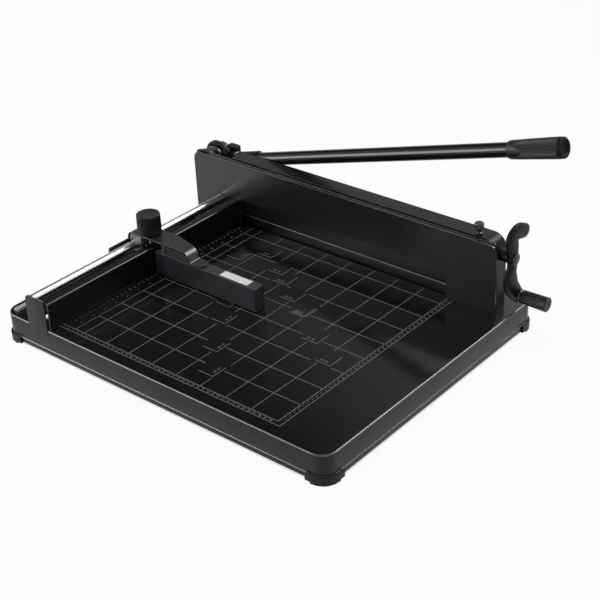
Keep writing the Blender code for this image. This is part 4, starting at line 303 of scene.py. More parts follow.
PLASTIC = moulded("moulded_plastic", (0.007, 0.007, 0.0075), (0.012, 0.012, 0.0125),
                  gloss=0.44, grain=0.0005, depth=0.00002, specular=0.20)
GRIP_PLASTIC = moulded("grip_plastic", (0.012, 0.012, 0.0125), (0.020, 0.020, 0.0205),
                       gloss=0.40, grain=0.0008, depth=0.00001, specular=0.22)
CAP_PLASTIC = moulded("cap_plastic", (0.002, 0.002, 0.002), (0.004, 0.004, 0.004),
                      gloss=0.55, grain=0.0004, depth=0.00002, specular=0.12)
STOP_PLASTIC = moulded("stop_enamel", (0.030, 0.033, 0.038), (0.038, 0.041, 0.047),
                       gloss=0.33, grain=0.0010, depth=0.00001, specular=0.22)
BAR_PLASTIC = moulded("pale_plastic", (0.36, 0.37, 0.38), (0.42, 0.43, 0.44),
                      gloss=0.30, grain=0.0010, depth=0.000005, specular=0.5)
STICK = moulded("stick_plastic", (0.70, 0.70, 0.66), (0.78, 0.78, 0.75),
                gloss=0.45, grain=0.0008, depth=0.00003, specular=0.45)
print("with the plastics", FINISHES)

# %% [markdown]
# ## Bare metals
# The rod is hard chrome, the small fasteners are bright zinc, the press parts are ground
# steel, and the nut and bush are bronze. The hand screw and the bolts of the lever are
# blackened. Metal needs marks that run the way it was worked, so the noise is stretched
# along one axis where a piece was ground.


# %% Bare metals
TARNISH = 0.02
TARNISH_RANGE = (0.25, 0.75)
MARK_RANGE = (0.2, 0.8)
ALL_ROUND = (1.0, 1.0, 1.0)


def metal(name, dark, light, gloss, spread, grain, depth, stretch=ALL_ROUND):
    """Worked metal: long thin noise for its marks, slow noise for its tarnish."""
    made, shader, spot = fresh(name, metallic=1.0)
    marks = spot.noise(grain, 2.0, stretch)
    tarnish = spot.noise(TARNISH, 3.0).clip(*TARNISH_RANGE)
    weather(shader, tarnish, dark, light, marks.clip(*MARK_RANGE), gloss, spread, marks, depth)
    return made


CHROME = metal("ground_chrome", (0.62, 0.63, 0.65), (0.70, 0.71, 0.72),
               gloss=0.25, spread=0.04, grain=0.0006, depth=0.000001, stretch=(1.0, 8.0, 1.0))
ZINC = metal("bright_zinc", (0.42, 0.43, 0.45), (0.55, 0.56, 0.57),
             gloss=0.26, spread=0.12, grain=0.0008, depth=0.000006)
CAST_ZINC = metal("silver_casting", (0.17, 0.18, 0.20), (0.23, 0.24, 0.26),
                  gloss=0.50, spread=0.08, grain=0.0012, depth=0.000006)
STEEL = metal("ground_steel", (0.40, 0.41, 0.43), (0.52, 0.53, 0.54),
              gloss=0.24, spread=0.10, grain=0.0003, depth=0.000003, stretch=(30.0, 1.0, 1.0))
BLACKENED = metal("blackened_steel", (0.045, 0.045, 0.047), (0.075, 0.075, 0.078),
                  gloss=0.34, spread=0.12, grain=0.0008, depth=0.00001)
GROUND_EDGE = metal("ground_edge", (0.22, 0.22, 0.23), (0.30, 0.30, 0.31),
                    gloss=0.40, spread=0.10, grain=0.0006, depth=0.000002, stretch=(12.0, 1.0, 1.0))
BRONZE = metal("worked_bronze", (0.42, 0.27, 0.13), (0.55, 0.37, 0.19),
               gloss=0.30, spread=0.10, grain=0.0006, depth=0.000004)
print("with the metals", FINISHES)

# %% [markdown]
# ## Ink and label
# The print on the table is a thin pale ink that wears a little where paper slides. The label
# on the stop block is a plain white film.


# %% Ink and label
SPECK_RANGE = (0.35, 0.65)


def film(name, dark, light, gloss, speck):
    """A thin printed or stuck layer: fine specks change its shade, its gloss stays even."""
    made, shader, spot = fresh(name, roughness=gloss, specular_ior_level=0.35)
    wire(shader, base_color=spot.noise(speck, 3.0).clip(*SPECK_RANGE).tint(dark, light))
    return made


INK = film("table_ink", (0.20, 0.205, 0.21), (0.27, 0.275, 0.28), gloss=0.40, speck=0.004)
LABEL = film("blank_label", (0.74, 0.74, 0.74), (0.80, 0.80, 0.80), gloss=0.42, speck=0.010)
print("with the films", FINISHES)

# %% [markdown]
# ## Meshes from grids of points
# Most new pieces are tubes of points: rows along the piece, columns round it. The faces of
# such a grid follow from its size alone, so one function makes them for every piece. Rows
# that shrink to a point close a pole, and flat ends get one face each.


# %% Grids of points
WELD = 2e-6
SMOOTH = 38.0


def quads(rows, columns):
    """Four corners of each patch between neighbouring rows; the last column meets the first."""
    index = np.arange(rows * columns).reshape(rows, columns)
    index = np.column_stack([index, index[:, 0]])
    return np.stack([index[:-1, :-1], index[:-1, 1:], index[1:, 1:], index[1:, :-1]], axis=-1).reshape(-1, 4)


def shade(mesh, angle):
    """Shade a mesh smooth, but sharp where faces meet at more than an angle in degrees."""
    mesh.shade_smooth()
    mesh.set_sharp_from_angle(angle=math.radians(angle))


def tubes(name, grid, smooth=SMOOTH):
    """A piece from a closed tube of points, faces outwards; a tube that meets its start has no ends."""
    rows, columns = grid.shape[:2]
    last = (rows - 1) * columns
    faces = quads(rows, columns).tolist()
    if not np.allclose(grid[0], grid[-1]):
        faces += [list(range(columns)), list(range(last, last + columns))]
    mesh = bpy.data.meshes.new(name)
    mesh.from_pydata(grid.reshape(-1, 3).tolist(), [], faces)
    form = bmesh.new()
    form.from_mesh(mesh)
    bmesh.ops.remove_doubles(form, verts=form.verts, dist=WELD)
    bmesh.ops.recalc_face_normals(form, faces=form.faces)
    form.to_mesh(mesh)
    form.free()
    shade(mesh, smooth)
    return put(name, mesh)


# %% Rounded lines
def rounded(corners, radii, steps=6, closed=False):
    """A line whose corners are arcs touching both sides; an arc's middle lies on the bisector.

    Points of an arc are weighted sums of its two ends, the weights being sines of the angle.
    """
    corners = np.array(corners, float)
    radii = np.broadcast_to(np.array(radii, float), len(corners))
    line = []
    for index, (corner, radius) in enumerate(zip(corners, radii)):
        outer = not closed and index in (0, len(corners) - 1)
        if outer or radius == 0.0:
            line.append(corner[None])
            continue
        back = corners[index - 1] - corner
        ahead = corners[(index + 1) % len(corners)] - corner
        back = back / np.linalg.norm(back)
        ahead = ahead / np.linalg.norm(ahead)
        half = math.acos(float(np.clip(back @ ahead, -1, 1))) / 2
        bisector = (back + ahead) / np.linalg.norm(back + ahead)
        centre = corner + bisector * radius / math.sin(half)
        reach = radius / math.tan(half)
        first = corner + back * reach - centre
        last = corner + ahead * reach - centre
        sweep = math.pi - 2 * half
        share = np.linspace(0, 1, steps + 1)[:, None]
        arc = (first * np.sin((1 - share) * sweep) + last * np.sin(share * sweep)) / math.sin(sweep)
        line.append(centre + arc)
    return np.concatenate(line)


def lathe(profile, sides, wave=None):
    """A turned form: each (level, radius) of the profile swept round in equal steps.

    Point = (level, radius cos angle, radius sin angle); a wave takes depth off the radius.
    """
    level, radius = np.array(profile, float).T[:, :, None]
    angle = np.linspace(0, 2 * math.pi, sides, endpoint=False)[None, :]
    radius = radius * np.ones_like(angle)
    if wave is not None:
        radius = radius - wave(level, angle)
    level = level * np.ones_like(angle)
    return np.stack([level, radius * np.cos(angle), radius * np.sin(angle)], axis=-1)


UP = (0.0, 0.0, 1.0)


def aim(grid, origin, along, up=UP):
    """Stand a grid on an axis: its first number runs along, its second up, its third across."""
    along = np.array(along, float) / np.linalg.norm(along)
    across = np.cross(along, up)
    across = across / np.linalg.norm(across)
    return np.array(origin) + grid @ np.array([along, np.cross(across, along), across])


def turned(name, profile, sides, origin, along, up=UP, wave=None, smooth=SMOOTH):
    """A turned piece on an axis: the lathe's grid, aimed along the axis and closed."""
    return tubes(name, aim(lathe(profile, sides, wave), origin, along, up), smooth)


print("grid helpers ready")

# %% [markdown]
# ## Giving a piece its place in the machine
# A new piece must say which body it moves with, which imported solid it stands for, and which
# finish it has. One function does all of it, and reads the body from the solid itself.
# Some pieces have a second finish on a part of their faces, picked by the way they face.


# %% Settle a piece
def settle(piece, finish, node, stands_in=True):
    """Give a piece its finish, hang it on its node's body and let it stand for that node."""
    piece.data.materials.clear()
    piece.data.materials.append(finish)
    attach(piece, nodes[node]["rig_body"])
    if stands_in:
        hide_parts(node)


def face_rows(piece, what):
    """The normal or the center of each face, as rows of three numbers."""
    rows = np.zeros(len(piece.data.polygons) * 3)
    piece.data.polygons.foreach_get(what, rows)
    return rows.reshape(-1, 3)


def finish_where(piece, finish, where):
    """Add a finish and give it to the faces that a test picks."""
    index = np.zeros(len(piece.data.polygons), np.int32)
    piece.data.polygons.foreach_get("material_index", index)
    index[where] = len(piece.data.materials)
    piece.data.materials.append(finish)
    piece.data.polygons.foreach_set("material_index", index)


def box_along(node, axis):
    """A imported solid's box from the machine's zero: the middle of its low end along an axis, and its size."""
    low, high = np.array(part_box(node)) - ZERO
    start = (low + high) / 2
    start["XYZ".index(axis)] = low["XYZ".index(axis)]
    return place(*start), high - low

# %% [markdown]
# ## Rounded copies of the imported solids
# Plates, brackets and castings already have the right shape, but their edges are knife
# sharp, and real edges catch the light. Their shape could be modelled again; a copy with its
# flat faces made whole and a small bevel is truer, because it can't drift from the solid.
# On the painted sheet pieces the bevel has a finish of its own, a little lighter and glossier;
# its lighter colour is a painted highlight along the edges.


# %% Rounded copies
EDGED = (POWDER, COVER_PAINT, FENCE_PAINT, STOP_PLASTIC)
SEAM = 2e-5
FLAT_ANGLE = 0.5
BEVEL_ANGLE = 32.0
BEVEL_SEGMENTS = 3
FLAT_WEIGHT = 90


def edge_rounded(node, finish, radius):
    """Copy a solid, join its loose triangles into flat faces, and bevel its sharp edges."""
    form = bmesh.new()
    form.from_mesh(nodes[node].data)
    bmesh.ops.remove_doubles(form, verts=form.verts, dist=SEAM)
    bmesh.ops.dissolve_limit(form, angle_limit=math.radians(FLAT_ANGLE), verts=form.verts, edges=form.edges)
    mesh = bpy.data.meshes.new(node + "_finished")
    form.to_mesh(mesh)
    form.free()
    mesh.shade_smooth()
    piece = put(node + "_finished", mesh)
    bevel = piece.modifiers.new("edges", "BEVEL")
    bevel.width = radius
    bevel.segments = BEVEL_SEGMENTS
    bevel.limit_method = "ANGLE"
    bevel.angle_limit = math.radians(BEVEL_ANGLE)
    # Bevels of the painted sheet pieces take the lighter edge finish: a painted highlight on their edges.
    bevel.material = 1 if finish in EDGED else 0
    keep = piece.modifiers.new("flat_faces", "WEIGHTED_NORMAL")
    keep.weight = FLAT_WEIGHT
    keep.keep_sharp = True
    settle(piece, finish, node)
    if finish in EDGED:
        piece.data.materials.append(EDGE_HIGHLIGHT)


ROUNDED_COPIES = {
    "front_plate": (POWDER, 0.0013),
    "rear_plate": (POWDER, 0.0006),
    "housing_cover": (COVER_PAINT, 0.0009),
    "side_fence": (FENCE_PAINT, 0.0004),
    "carriage_saddle": (POWDER, 0.0007),
    "guide_block": (CAST_ZINC, 0.0008),
    "stop_block": (STOP_PLASTIC, 0.0009),
    "pivot_bracket": (POWDER, 0.0008),
    "pivot_nut": (ZINC, 0.0005),
    "arm_bolt_upper": (BLACKENED, 0.0006),
    "arm_bolt_lower": (BLACKENED, 0.0006),
    "swing_link": (POWDER, 0.0004),
    "foot_front_left": (PLASTIC, 0.0009),
    "foot_front_right": (PLASTIC, 0.0009),
    "foot_back_left": (PLASTIC, 0.0009),
    "foot_back_right": (PLASTIC, 0.0009),
    "left_block": (CASTING, 0.0008),
    "right_block": (CASTING, 0.0008),
    "blade_carrier": (STEEL, 0.0004),
    "draw_bar": (STEEL, 0.0003),
    "stick_channel": (POWDER, 0.0002),
    "cutting_stick": (STICK, 0.0003),
    "crank_screw": (BLACKENED, 0.0004),
    "grip_washer": (ZINC, 0.0002),
    "spindle_bush": (CASTING, 0.0004),
    "pivot_bolt": (BLACKENED, 0.0005),
    "spacer_sleeve": (ZINC, 0.0003),
}
for node, (finish, radius) in ROUNDED_COPIES.items():
    edge_rounded(node, finish, radius)
print("rounded copies", len(ROUNDED_COPIES))

# %% [markdown]
# ## Small hidden solids
# Pins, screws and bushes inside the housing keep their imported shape. They still get a real
# finish, because a pose or a view from behind shows them.

# %% Finishes for the solids that stay
KEPT = {
    STEEL: ("clamp_post_left", "clamp_post_right", "blade", "blade_screw_left", "blade_screw_middle",
            "blade_screw_right", "clamp_pin_left", "clamp_pin_right", "clamp_nut", "crank_spindle",
            "drive_pin", "link_pin", "stop_screw_left", "stop_screw_right", "knob_stud", "grip_pin"),
    BRONZE: ("spindle_nut", "hub_bush"),
    BLACKENED: ("link_bolt", "cover_screw_left", "cover_screw_right"),
}
for finish, names in KEPT.items():
    for node in names:
        for part_slot in nodes[node].material_slots:
            part_slot.material = finish
print("kept solids", sum(len(names) for names in KEPT.values()))

# %% [markdown]
# ## The table
# The table is one folded sheet: a flat top that turns down into a flange on all four sides.
# The bend is what catches the light as a thin bright line, so it must be truly round. Its faces
# also get the lighter edge finish, a painted highlight on that line. A bevelled box would do
# for the bend but not for the corners; here a profile of the bend is carried round the rounded
# outline, so both are smooth.

# %% Table shell
SHEET = 0.002
TABLE_CORNER = 0.025
BEND = 0.0024
CORNER_STEPS = 14


def outline(inset, steps=CORNER_STEPS):
    """The table's outline set in by a distance: a rectangle with arcs of the corner's radius."""
    low = np.array([-TABLE_LEFT + inset, -TABLE_FRONT + inset])
    high = low + (TABLE_WIDTH - 2 * inset, TABLE_DEPTH - 2 * inset)
    corners = [(low[0], low[1]), (high[0], low[1]), (high[0], high[1]), (low[0], high[1])]
    return rounded(corners, TABLE_CORNER - inset, steps, closed=True)


def rim(profile):
    """Rings of points: each (inset, level) of the profile carried round the table's outline."""
    lines = [(outline(inset), level) for inset, level in profile]
    rings = [np.column_stack([line, np.full(len(line), level)]) for line, level in lines]
    return place(0, 0, 0) + np.array(rings)


shell_profile = rounded(
    [(SHEET, -SHEET), (SHEET, -TRAY_DEPTH), (0, -TRAY_DEPTH), (0, 0), (BEND * 3, 0)],
    [0, 0, 0.0006, BEND, 0],
)
table = tubes("table_finished", rim(shell_profile))
print("table faces", len(table.data.polygons))

# %% [markdown]
# The tab that carries the rod is cut free from the top sheet and folded up in line with the
# front flange, which leaves a hole behind it. The stick lies in a long groove. Both could be
# modelled into the grid, but cutting and joining solids is how the sheet itself is made.


# %% Cutting and joining
EDGE_ROWS = 5
SHARPEST = 0.2


def combine(piece, tool, operation="UNION"):
    """Join or cut with another closed form, and keep the result as the piece's own mesh."""
    step = piece.modifiers.new("combine", "BOOLEAN")
    step.operation = operation
    step.solver = "EXACT"
    step.object = tool
    graph = bpy.context.evaluated_depsgraph_get()
    made = bpy.data.meshes.new_from_object(piece.evaluated_get(graph))
    piece.modifiers.clear()
    piece.data = made
    bpy.data.objects.remove(tool, do_unlink=True)


def sheet_piece(name, line, low, high, edge, normal):
    """A flat piece from an outline: two faces set in by the edge's radius, arcs between them.

    A point of the rim = outline point moved inwards by (1 - sin) and in depth by (1 - cos).
    """
    line = np.array(line)
    side = np.roll(line, -1, 0) - line
    side = side / np.linalg.norm(side, axis=1)[:, None]
    inward = np.column_stack([-side[:, 1], side[:, 0]])
    both = inward + np.roll(inward, 1, 0)
    inward = both / np.maximum((both * both).sum(1) / 2, SHARPEST)[:, None]
    angle = np.linspace(0, math.pi / 2, EDGE_ROWS)
    inset = edge * (1 - np.sin(angle))
    depth = edge * (1 - np.cos(angle))
    inset = np.concatenate([inset, inset[::-1]])
    level = np.concatenate([low + depth, (high - depth)[::-1]])
    plane = line[None] + inward[None] * inset[:, None, None]
    height = np.broadcast_to(level[:, None], plane.shape[:2])
    first, second = plane[..., 0], plane[..., 1]
    order = (first, height, second) if normal == "Y" else (first, second, height)
    return tubes(name, place(0, 0, 0) + np.stack(order, axis=-1))


def rectangle(low, high):
    """Four corners of a rectangle, counted round from its lower left."""
    return [(low[0], low[1]), (high[0], low[1]), (high[0], high[1]), (low[0], high[1])]


# %% Tab, hole and groove
TAB_LEFT = -0.048
TAB_WIDTH = 0.045
TAB_HEIGHT = 0.0532
TAB_CORNERS = (0, 0, 0.0015, 0.012)
TAB_SLIT = 0.0014
TAB_SLIT_DEPTH = 0.009
TAB_EDGE = 0.0006
TRIM = 0.0001
GROOVE_GAP = 0.0003
GROOVE_DEPTH = SHEET * 3
tab_right = TAB_LEFT + TAB_WIDTH
hole_line = rectangle((TAB_LEFT, -TABLE_FRONT - SHEET), (tab_right + TAB_SLIT, TAB_HEIGHT - TABLE_FRONT))
combine(table, sheet_piece("hole", hole_line, -TAB_SLIT_DEPTH, SHEET, TRIM, "Z"), "DIFFERENCE")
tab_line = rectangle((TAB_LEFT, -TAB_SLIT_DEPTH - SHEET), (tab_right, TAB_HEIGHT))
tab_line = rounded(tab_line, TAB_CORNERS, 8, closed=True)
combine(table, sheet_piece("tab", tab_line, -TABLE_FRONT, SHEET - TABLE_FRONT, TAB_EDGE, "Y"))
stick_low, stick_high = np.array(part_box("cutting_stick")) - ZERO
groove_line = rectangle(stick_low[:2] - GROOVE_GAP, stick_high[:2] + GROOVE_GAP)
combine(table, sheet_piece("groove", groove_line, -GROOVE_DEPTH, SHEET, TRIM, "Z"), "DIFFERENCE")

# %% Finishes of the table
JOINED_SMOOTH = 32
SIDE_LEAN = 0.12
TOP_LEAN = 0.985
shade(table.data, JOINED_SMOOTH)
settle(table, ENAMEL, "base_tray")
lean = np.abs(face_rows(table, "normal")[:, 2])
finish_where(table, FLANGE, lean <= SIDE_LEAN)
# The bend faces take the lighter edge finish: a painted highlight along the bend.
finish_where(table, EDGE_HIGHLIGHT, (lean > SIDE_LEAN) & (lean <= TOP_LEAN))
print("table with tab", len(table.data.polygons), "faces")

# %% [markdown]
# ## The rail under the table
# A rolled rail closes the table below. Its top edge is rolled over with a large radius, and
# that roll is the second bright line along the front; the roll's faces get the lighter edge
# finish, a painted highlight on that line.

# %% Rail
RAIL_GAP = 0.001
RAIL_HEIGHT = 0.010
RAIL_FOOT_BEND = 0.0012
RAIL_ROLL = 0.0022
UPSTAND = 0.022
UPSTAND_IN = 0.0023
rail_top = -TRAY_DEPTH - RAIL_GAP
rail_foot = rail_top - RAIL_HEIGHT
inner = UPSTAND_IN + SHEET
rail_profile = rounded(
    [(inner, rail_foot), (0, rail_foot), (0, rail_top), (UPSTAND_IN, rail_top),
     (UPSTAND_IN, rail_top + UPSTAND), (inner, rail_top + UPSTAND), (inner, rail_foot)],
    [0, RAIL_FOOT_BEND, RAIL_ROLL, 0, 0, 0, 0],
)
rail = tubes("lower_frame_finished", rim(rail_profile))
settle(rail, FLANGE, "lower_frame")
lean = face_rows(rail, "normal")[:, 2]
# The rolled edge takes the lighter edge finish: a painted highlight along the roll.
finish_where(rail, EDGE_HIGHLIGHT, (lean > SIDE_LEAN) & (lean < TOP_LEAN))
print("rail faces", len(rail.data.polygons))

# %% [markdown]
# ## Lip, side bar and plate screw
# Three small forms finish the sheet metal. A narrow lip between front plate and cover catches
# the light as a second fine line; its rounded edges get the lighter edge finish, a painted
# highlight on that line. At its left end it rises towards the lever's hub. A flat bar lies
# along the table's left rim. A dark screw sits in the plate above the rod's end.

# %% Lip
LIP_FRONT, LIP_BACK = 0.4268, 0.4318
LIP_LEFT, LIP_RIGHT = -0.0985, 0.5320
LIP_FOOT, LIP_TOP = 0.1135, 0.1203
LIP_RISE = ((-0.0680, LIP_TOP), (-0.0780, 0.1250), (LIP_LEFT, 0.1190))
LIP_CORNERS = (0.001, 0.001, 0.0055, 0.004, 0.003, 0.004)
LIP_EDGE = 0.0007
FRONT_LEAN = 0.97
lip_line = [(LIP_LEFT, LIP_FOOT), (LIP_RIGHT, LIP_FOOT), (LIP_RIGHT, LIP_TOP), *LIP_RISE]
lip_line = rounded(lip_line, LIP_CORNERS, 5, closed=True)
lip = sheet_piece("cover_lip", lip_line, LIP_FRONT, LIP_BACK, LIP_EDGE, "Y")
settle(lip, COVER_PAINT, "housing_cover", stands_in=False)
lean = np.abs(face_rows(lip, "normal")[:, 1])
# The lip's rounded edges take the lighter edge finish: a painted highlight.
finish_where(lip, EDGE_HIGHLIGHT, (lean > SIDE_LEAN) & (lean < FRONT_LEAN))
print("lip faces", len(lip.data.polygons))

# %% Side bar and plate screw
BAR_LOW, BAR_HIGH = (-0.0940, -0.0205), (-0.0850, 0.3950)
BAR_LIFT, BAR_TOP = 0.00002, 0.0055
BAR_EDGE = 0.0005
bar = sheet_piece("side_bar", rectangle(BAR_LOW, BAR_HIGH), BAR_LIFT, BAR_TOP, BAR_EDGE, "Z")
settle(bar, BAR_PLASTIC, "base_tray", stands_in=False)
PLATE_SCREW = place(-0.0496, 0.4204, 0.0440)
HEAD_RADIUS, HEAD_BELOW = 0.0026, -0.0012
SOCKET_RIM, SOCKET_WALL, SOCKET_FLOOR = 0.0012, 0.0010, -0.0008
screw_profile = rounded(
    [(HEAD_BELOW, 0), (HEAD_BELOW, HEAD_RADIUS), (0, HEAD_RADIUS), (0, SOCKET_RIM),
     (SOCKET_FLOOR, SOCKET_WALL), (SOCKET_FLOOR, 0)],
    [0, 0, 0.0006, 0.0002, 0.0002, 0], 4,
)
plate_screw = turned("plate_screw", screw_profile, 40, PLATE_SCREW, (0, -1, 0))
settle(plate_screw, BLACKENED, "front_plate", stands_in=False)
print("bar faces", len(bar.data.polygons), "screw faces", len(plate_screw.data.polygons))

# %% [markdown]
# ## Clamp bar
# The clamp presses the stack just in front of the blade. It is a flat plate with a thicker
# foot; the foot's two long edges are ground, and show as two fine bright lines in the
# opening. Plate, upper part and foot are made as three rounded slabs and joined.

# %% Clamp bar
END_PLAY = 0.0042
FOOT_LOW, FOOT_TOP = 0.0012, 0.0185
FOOT_PROUD, FOOT_SHY = 0.0007, 0.001
PLATE_LOW = FOOT_LOW + 0.002
SHOULDER_DROP = 0.0245
UPPER_LOW = (0.050, 0.040)
UPPER_RIGHT = 0.385
UPPER_CORNER = 0.003
UPPER_SHY = 0.0001
GROUND_LEAN = 0.05
GROUND_DEPTH = 0.001
clamp_low, clamp_high = np.array(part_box("clamp_bar")) - ZERO
left, right = clamp_low[0] + END_PLAY, clamp_high[0] - END_PLAY
front, back = clamp_low[1], clamp_high[1]
plate_line = rectangle((left, PLATE_LOW), (right, clamp_high[2] - SHOULDER_DROP))
upper_line = rectangle(UPPER_LOW, (UPPER_RIGHT, clamp_high[2]))
upper_line = rounded(upper_line, [0, 0, UPPER_CORNER, UPPER_CORNER], 4, closed=True)
foot_line = rectangle((left, FOOT_LOW), (right, FOOT_TOP))
clamp = sheet_piece("clamp_bar_finished", plate_line, front, back, 0.0006, "Y")
combine(clamp, sheet_piece("upper", upper_line, front + UPPER_SHY, back - UPPER_SHY, 0.0005, "Y"))
combine(clamp, sheet_piece("foot", foot_line, front - FOOT_PROUD, back - FOOT_SHY, 0.0009, "Y"))
shade(clamp.data, JOINED_SMOOTH)
settle(clamp, POWDER, "clamp_bar")
lean = np.abs(face_rows(clamp, "normal")[:, 1])
ahead = face_rows(clamp, "center")[:, 1] < place(0, front + GROUND_DEPTH, 0)[1]
ground = (lean > GROUND_LEAN) & (lean < FRONT_LEAN) & ahead
finish_where(clamp, GROUND_EDGE, ground)
print("clamp faces", len(clamp.data.polygons), "ground", int(ground.sum()))

# %% [markdown]
# ## The printed grid
# The table carries a pale print: squares of 50 mm, a centimetre scale in the front border and
# in the right border, both scales beside the fence, and corner marks for sheets. It could be
# painted by shader maths, but ink lies on top of the enamel, so it is modelled as a film a
# few hundredths of a millimetre thick. Each stroke is a flat box from an array of rectangles.

# %% Strokes of ink
INK_LINE = 0.0008
INK_LOW = 0.00003
INK_HIGH = 0.00008
BOX_SIDES = np.array([[3, 2, 1, 0], [4, 5, 6, 7], [0, 1, 5, 4], [1, 2, 6, 5], [2, 3, 7, 6], [3, 0, 4, 7]])


def strokes(rectangles):
    """Points and faces of thin boxes: each rectangle's four corners at two levels."""
    rectangles = np.array(rectangles)
    flat = np.stack([rectangles[:, [0, 2, 2, 0]], rectangles[:, [1, 1, 3, 3]]], axis=-1)
    level = np.broadcast_to(np.array([INK_LOW, INK_HIGH])[None, :, None, None], (len(flat), 2, 4, 1))
    points = np.concatenate([np.repeat(flat[:, None], 2, axis=1), level], axis=-1).reshape(-1, 3)
    faces = (np.arange(len(flat))[:, None, None] * 8 + BOX_SIDES).reshape(-1, 4)
    return points.tolist(), faces.tolist()


def along_x(y, start, end):
    """A stroke along the housing, as wide as the ink line."""
    return (start, y - INK_LINE / 2, end, y + INK_LINE / 2)


def along_y(x, start, end):
    """A stroke towards the housing, as wide as the ink line."""
    return (x - INK_LINE / 2, start, x + INK_LINE / 2, end)


# %% [markdown]
# The corner marks show where sheets of common sizes end. Grid lines stop short of each mark,
# so every line is cut where a mark's clear field lies across it. Each mark is written as the
# millimetres of its corner, and carries the sheet's two sides in the same unit.

# %% Corner marks and clear fields
MILLI = 0.001
BLADE_LINE = 448
MARKS_UP = [(257, 83), (298, 29), (211, 151), (90, 322), (182, 194)]
MARKS_ALONG = [
    (129, 359), (182, 324), (210, 302), (256, 268), (298, 240), (365.5, 191), (421, 154), (301, 243),
]
MARKS = np.array(MARKS_UP + MARKS_ALONG) * MILLI
MARK_ARM = 0.030
CLEAR_BACK = 0.034
CLEAR_AHEAD = 0.005
CLEAR_UP = 0.037


def cut_spans(start, end, gaps):
    """What is left of a line from start to end when the gaps are taken out."""
    spans = []
    for low, high in sorted(gaps):
        if low > start:
            spans.append((start, min(low, end)))
        start = max(start, high)
    if start < end:
        spans.append((start, end))
    return spans


def gaps_at(value, across):
    """The clear fields that a line at this value runs through."""
    low = MARKS - (CLEAR_BACK, CLEAR_AHEAD)
    high = MARKS + (CLEAR_AHEAD, CLEAR_UP)
    own = 1 - across
    hit = (low[:, own] < value) & (value < high[:, own])
    return list(zip(low[hit, across], high[hit, across]))


# %% Grid and borders
CELL = 0.050
CELLS = 8
GRID_LEFT = 0.030
GRID_RIGHT = 0.450
BORDER_RIGHT = 0.460
BORDER_FRONT = -0.008
BORDER_LEFT = -0.003
GRID_BACK = 0.4255
cell_lines = np.arange(1, CELLS + 1) * CELL
lines = []
for y in cell_lines:
    lines += [along_x(y, *span) for span in cut_spans(GRID_LEFT, GRID_RIGHT, gaps_at(y, 0))]
for x in np.append(cell_lines, GRID_LEFT):
    lines += [along_y(x, *span) for span in cut_spans(0.0, GRID_BACK, gaps_at(x, 1))]
lines += [along_x(0.0, BORDER_LEFT, GRID_RIGHT), along_x(BORDER_FRONT, BORDER_LEFT, BORDER_RIGHT)]
lines += [along_y(GRID_RIGHT, 0.0, GRID_BACK), along_y(BORDER_RIGHT, BORDER_FRONT, GRID_BACK)]
lines += [along_x(y, x - MARK_ARM, x) for x, y in MARKS]
lines += [along_y(x, y, y + MARK_ARM) for x, y in MARKS]
print("grid strokes", len(lines))

# %% Scale ticks
CENTI = 0.010
STEPS_ALONG, STEPS_UP = 44, 41
TICK = 0.0016
HALF_TICK = TICK * 1.6
SCALE_X = 0.0075
SCALE_TICK = 0.0045
steps = np.arange(1, STEPS_ALONG + 1) * CENTI
lines += [along_y(x, BORDER_FRONT, BORDER_FRONT + TICK) for x in steps]
lines += [along_y(x - CENTI / 2, -HALF_TICK, 0.0) for x in steps]
up = steps[:STEPS_UP]
lines += [along_x(y, BORDER_RIGHT - TICK, BORDER_RIGHT) for y in up]
lines += [along_x(y - CENTI / 2, GRID_RIGHT, GRID_RIGHT + HALF_TICK) for y in up]
lines += [along_x(y, SCALE_TICK, SCALE_TICK + TICK) for y in up]
lines += [along_x(y - CENTI / 2, SCALE_TICK, SCALE_TICK + TICK / 2) for y in up]
points, faces = strokes(lines)
print("all strokes", len(lines))

# %% [markdown]
# Numerals come from the built-in font: ten small meshes, made once and then only moved. A
# text object for every number would do the same with hundreds of objects to place.

# %% Numerals
NUMERAL_HEIGHT = 0.0036
NUMERAL_STEP = 0.62
FONT_SIZE = 1.4
FONT_THICK = 0.5


def numeral_mesh(numeral):
    """One numeral of unit height as points and faces, thin and closed."""
    curve = bpy.data.curves.new("numeral", "FONT")
    curve.body = numeral
    curve.align_x = "CENTER"
    curve.align_y = "CENTER"
    curve.resolution_u = 1
    curve.extrude = FONT_THICK
    curve.size = FONT_SIZE
    made = put("numeral", curve)
    graph = bpy.context.evaluated_depsgraph_get()
    mesh = bpy.data.meshes.new_from_object(made.evaluated_get(graph))
    spots = np.zeros(len(mesh.vertices) * 3)
    mesh.vertices.foreach_get("co", spots)
    sides = [list(face.vertices) for face in mesh.polygons]
    bpy.data.objects.remove(made, do_unlink=True)
    return spots.reshape(-1, 3), sides


NUMERALS = {numeral: numeral_mesh(numeral) for numeral in "0123456789"}


def write(text, x, y, height=NUMERAL_HEIGHT, upright=True):
    """Add numerals side by side, centred on a point; lying ones are turned a quarter round."""
    offset = -(len(text) - 1) / 2 * NUMERAL_STEP
    for numeral in text:
        if numeral != " ":
            spots, sides = NUMERALS[numeral]
            flat = (spots[:, :2] + (offset, 0)) * height
            if not upright:
                flat = np.column_stack([-flat[:, 1], flat[:, 0]])
            level = np.where(spots[:, 2:] > 0, INK_HIGH, INK_LOW)
            faces.extend([[index + len(points) for index in side] for side in sides])
            points.extend(np.column_stack([flat + (x, y), level]).tolist())
        offset += NUMERAL_STEP


print("numerals", len(NUMERALS))

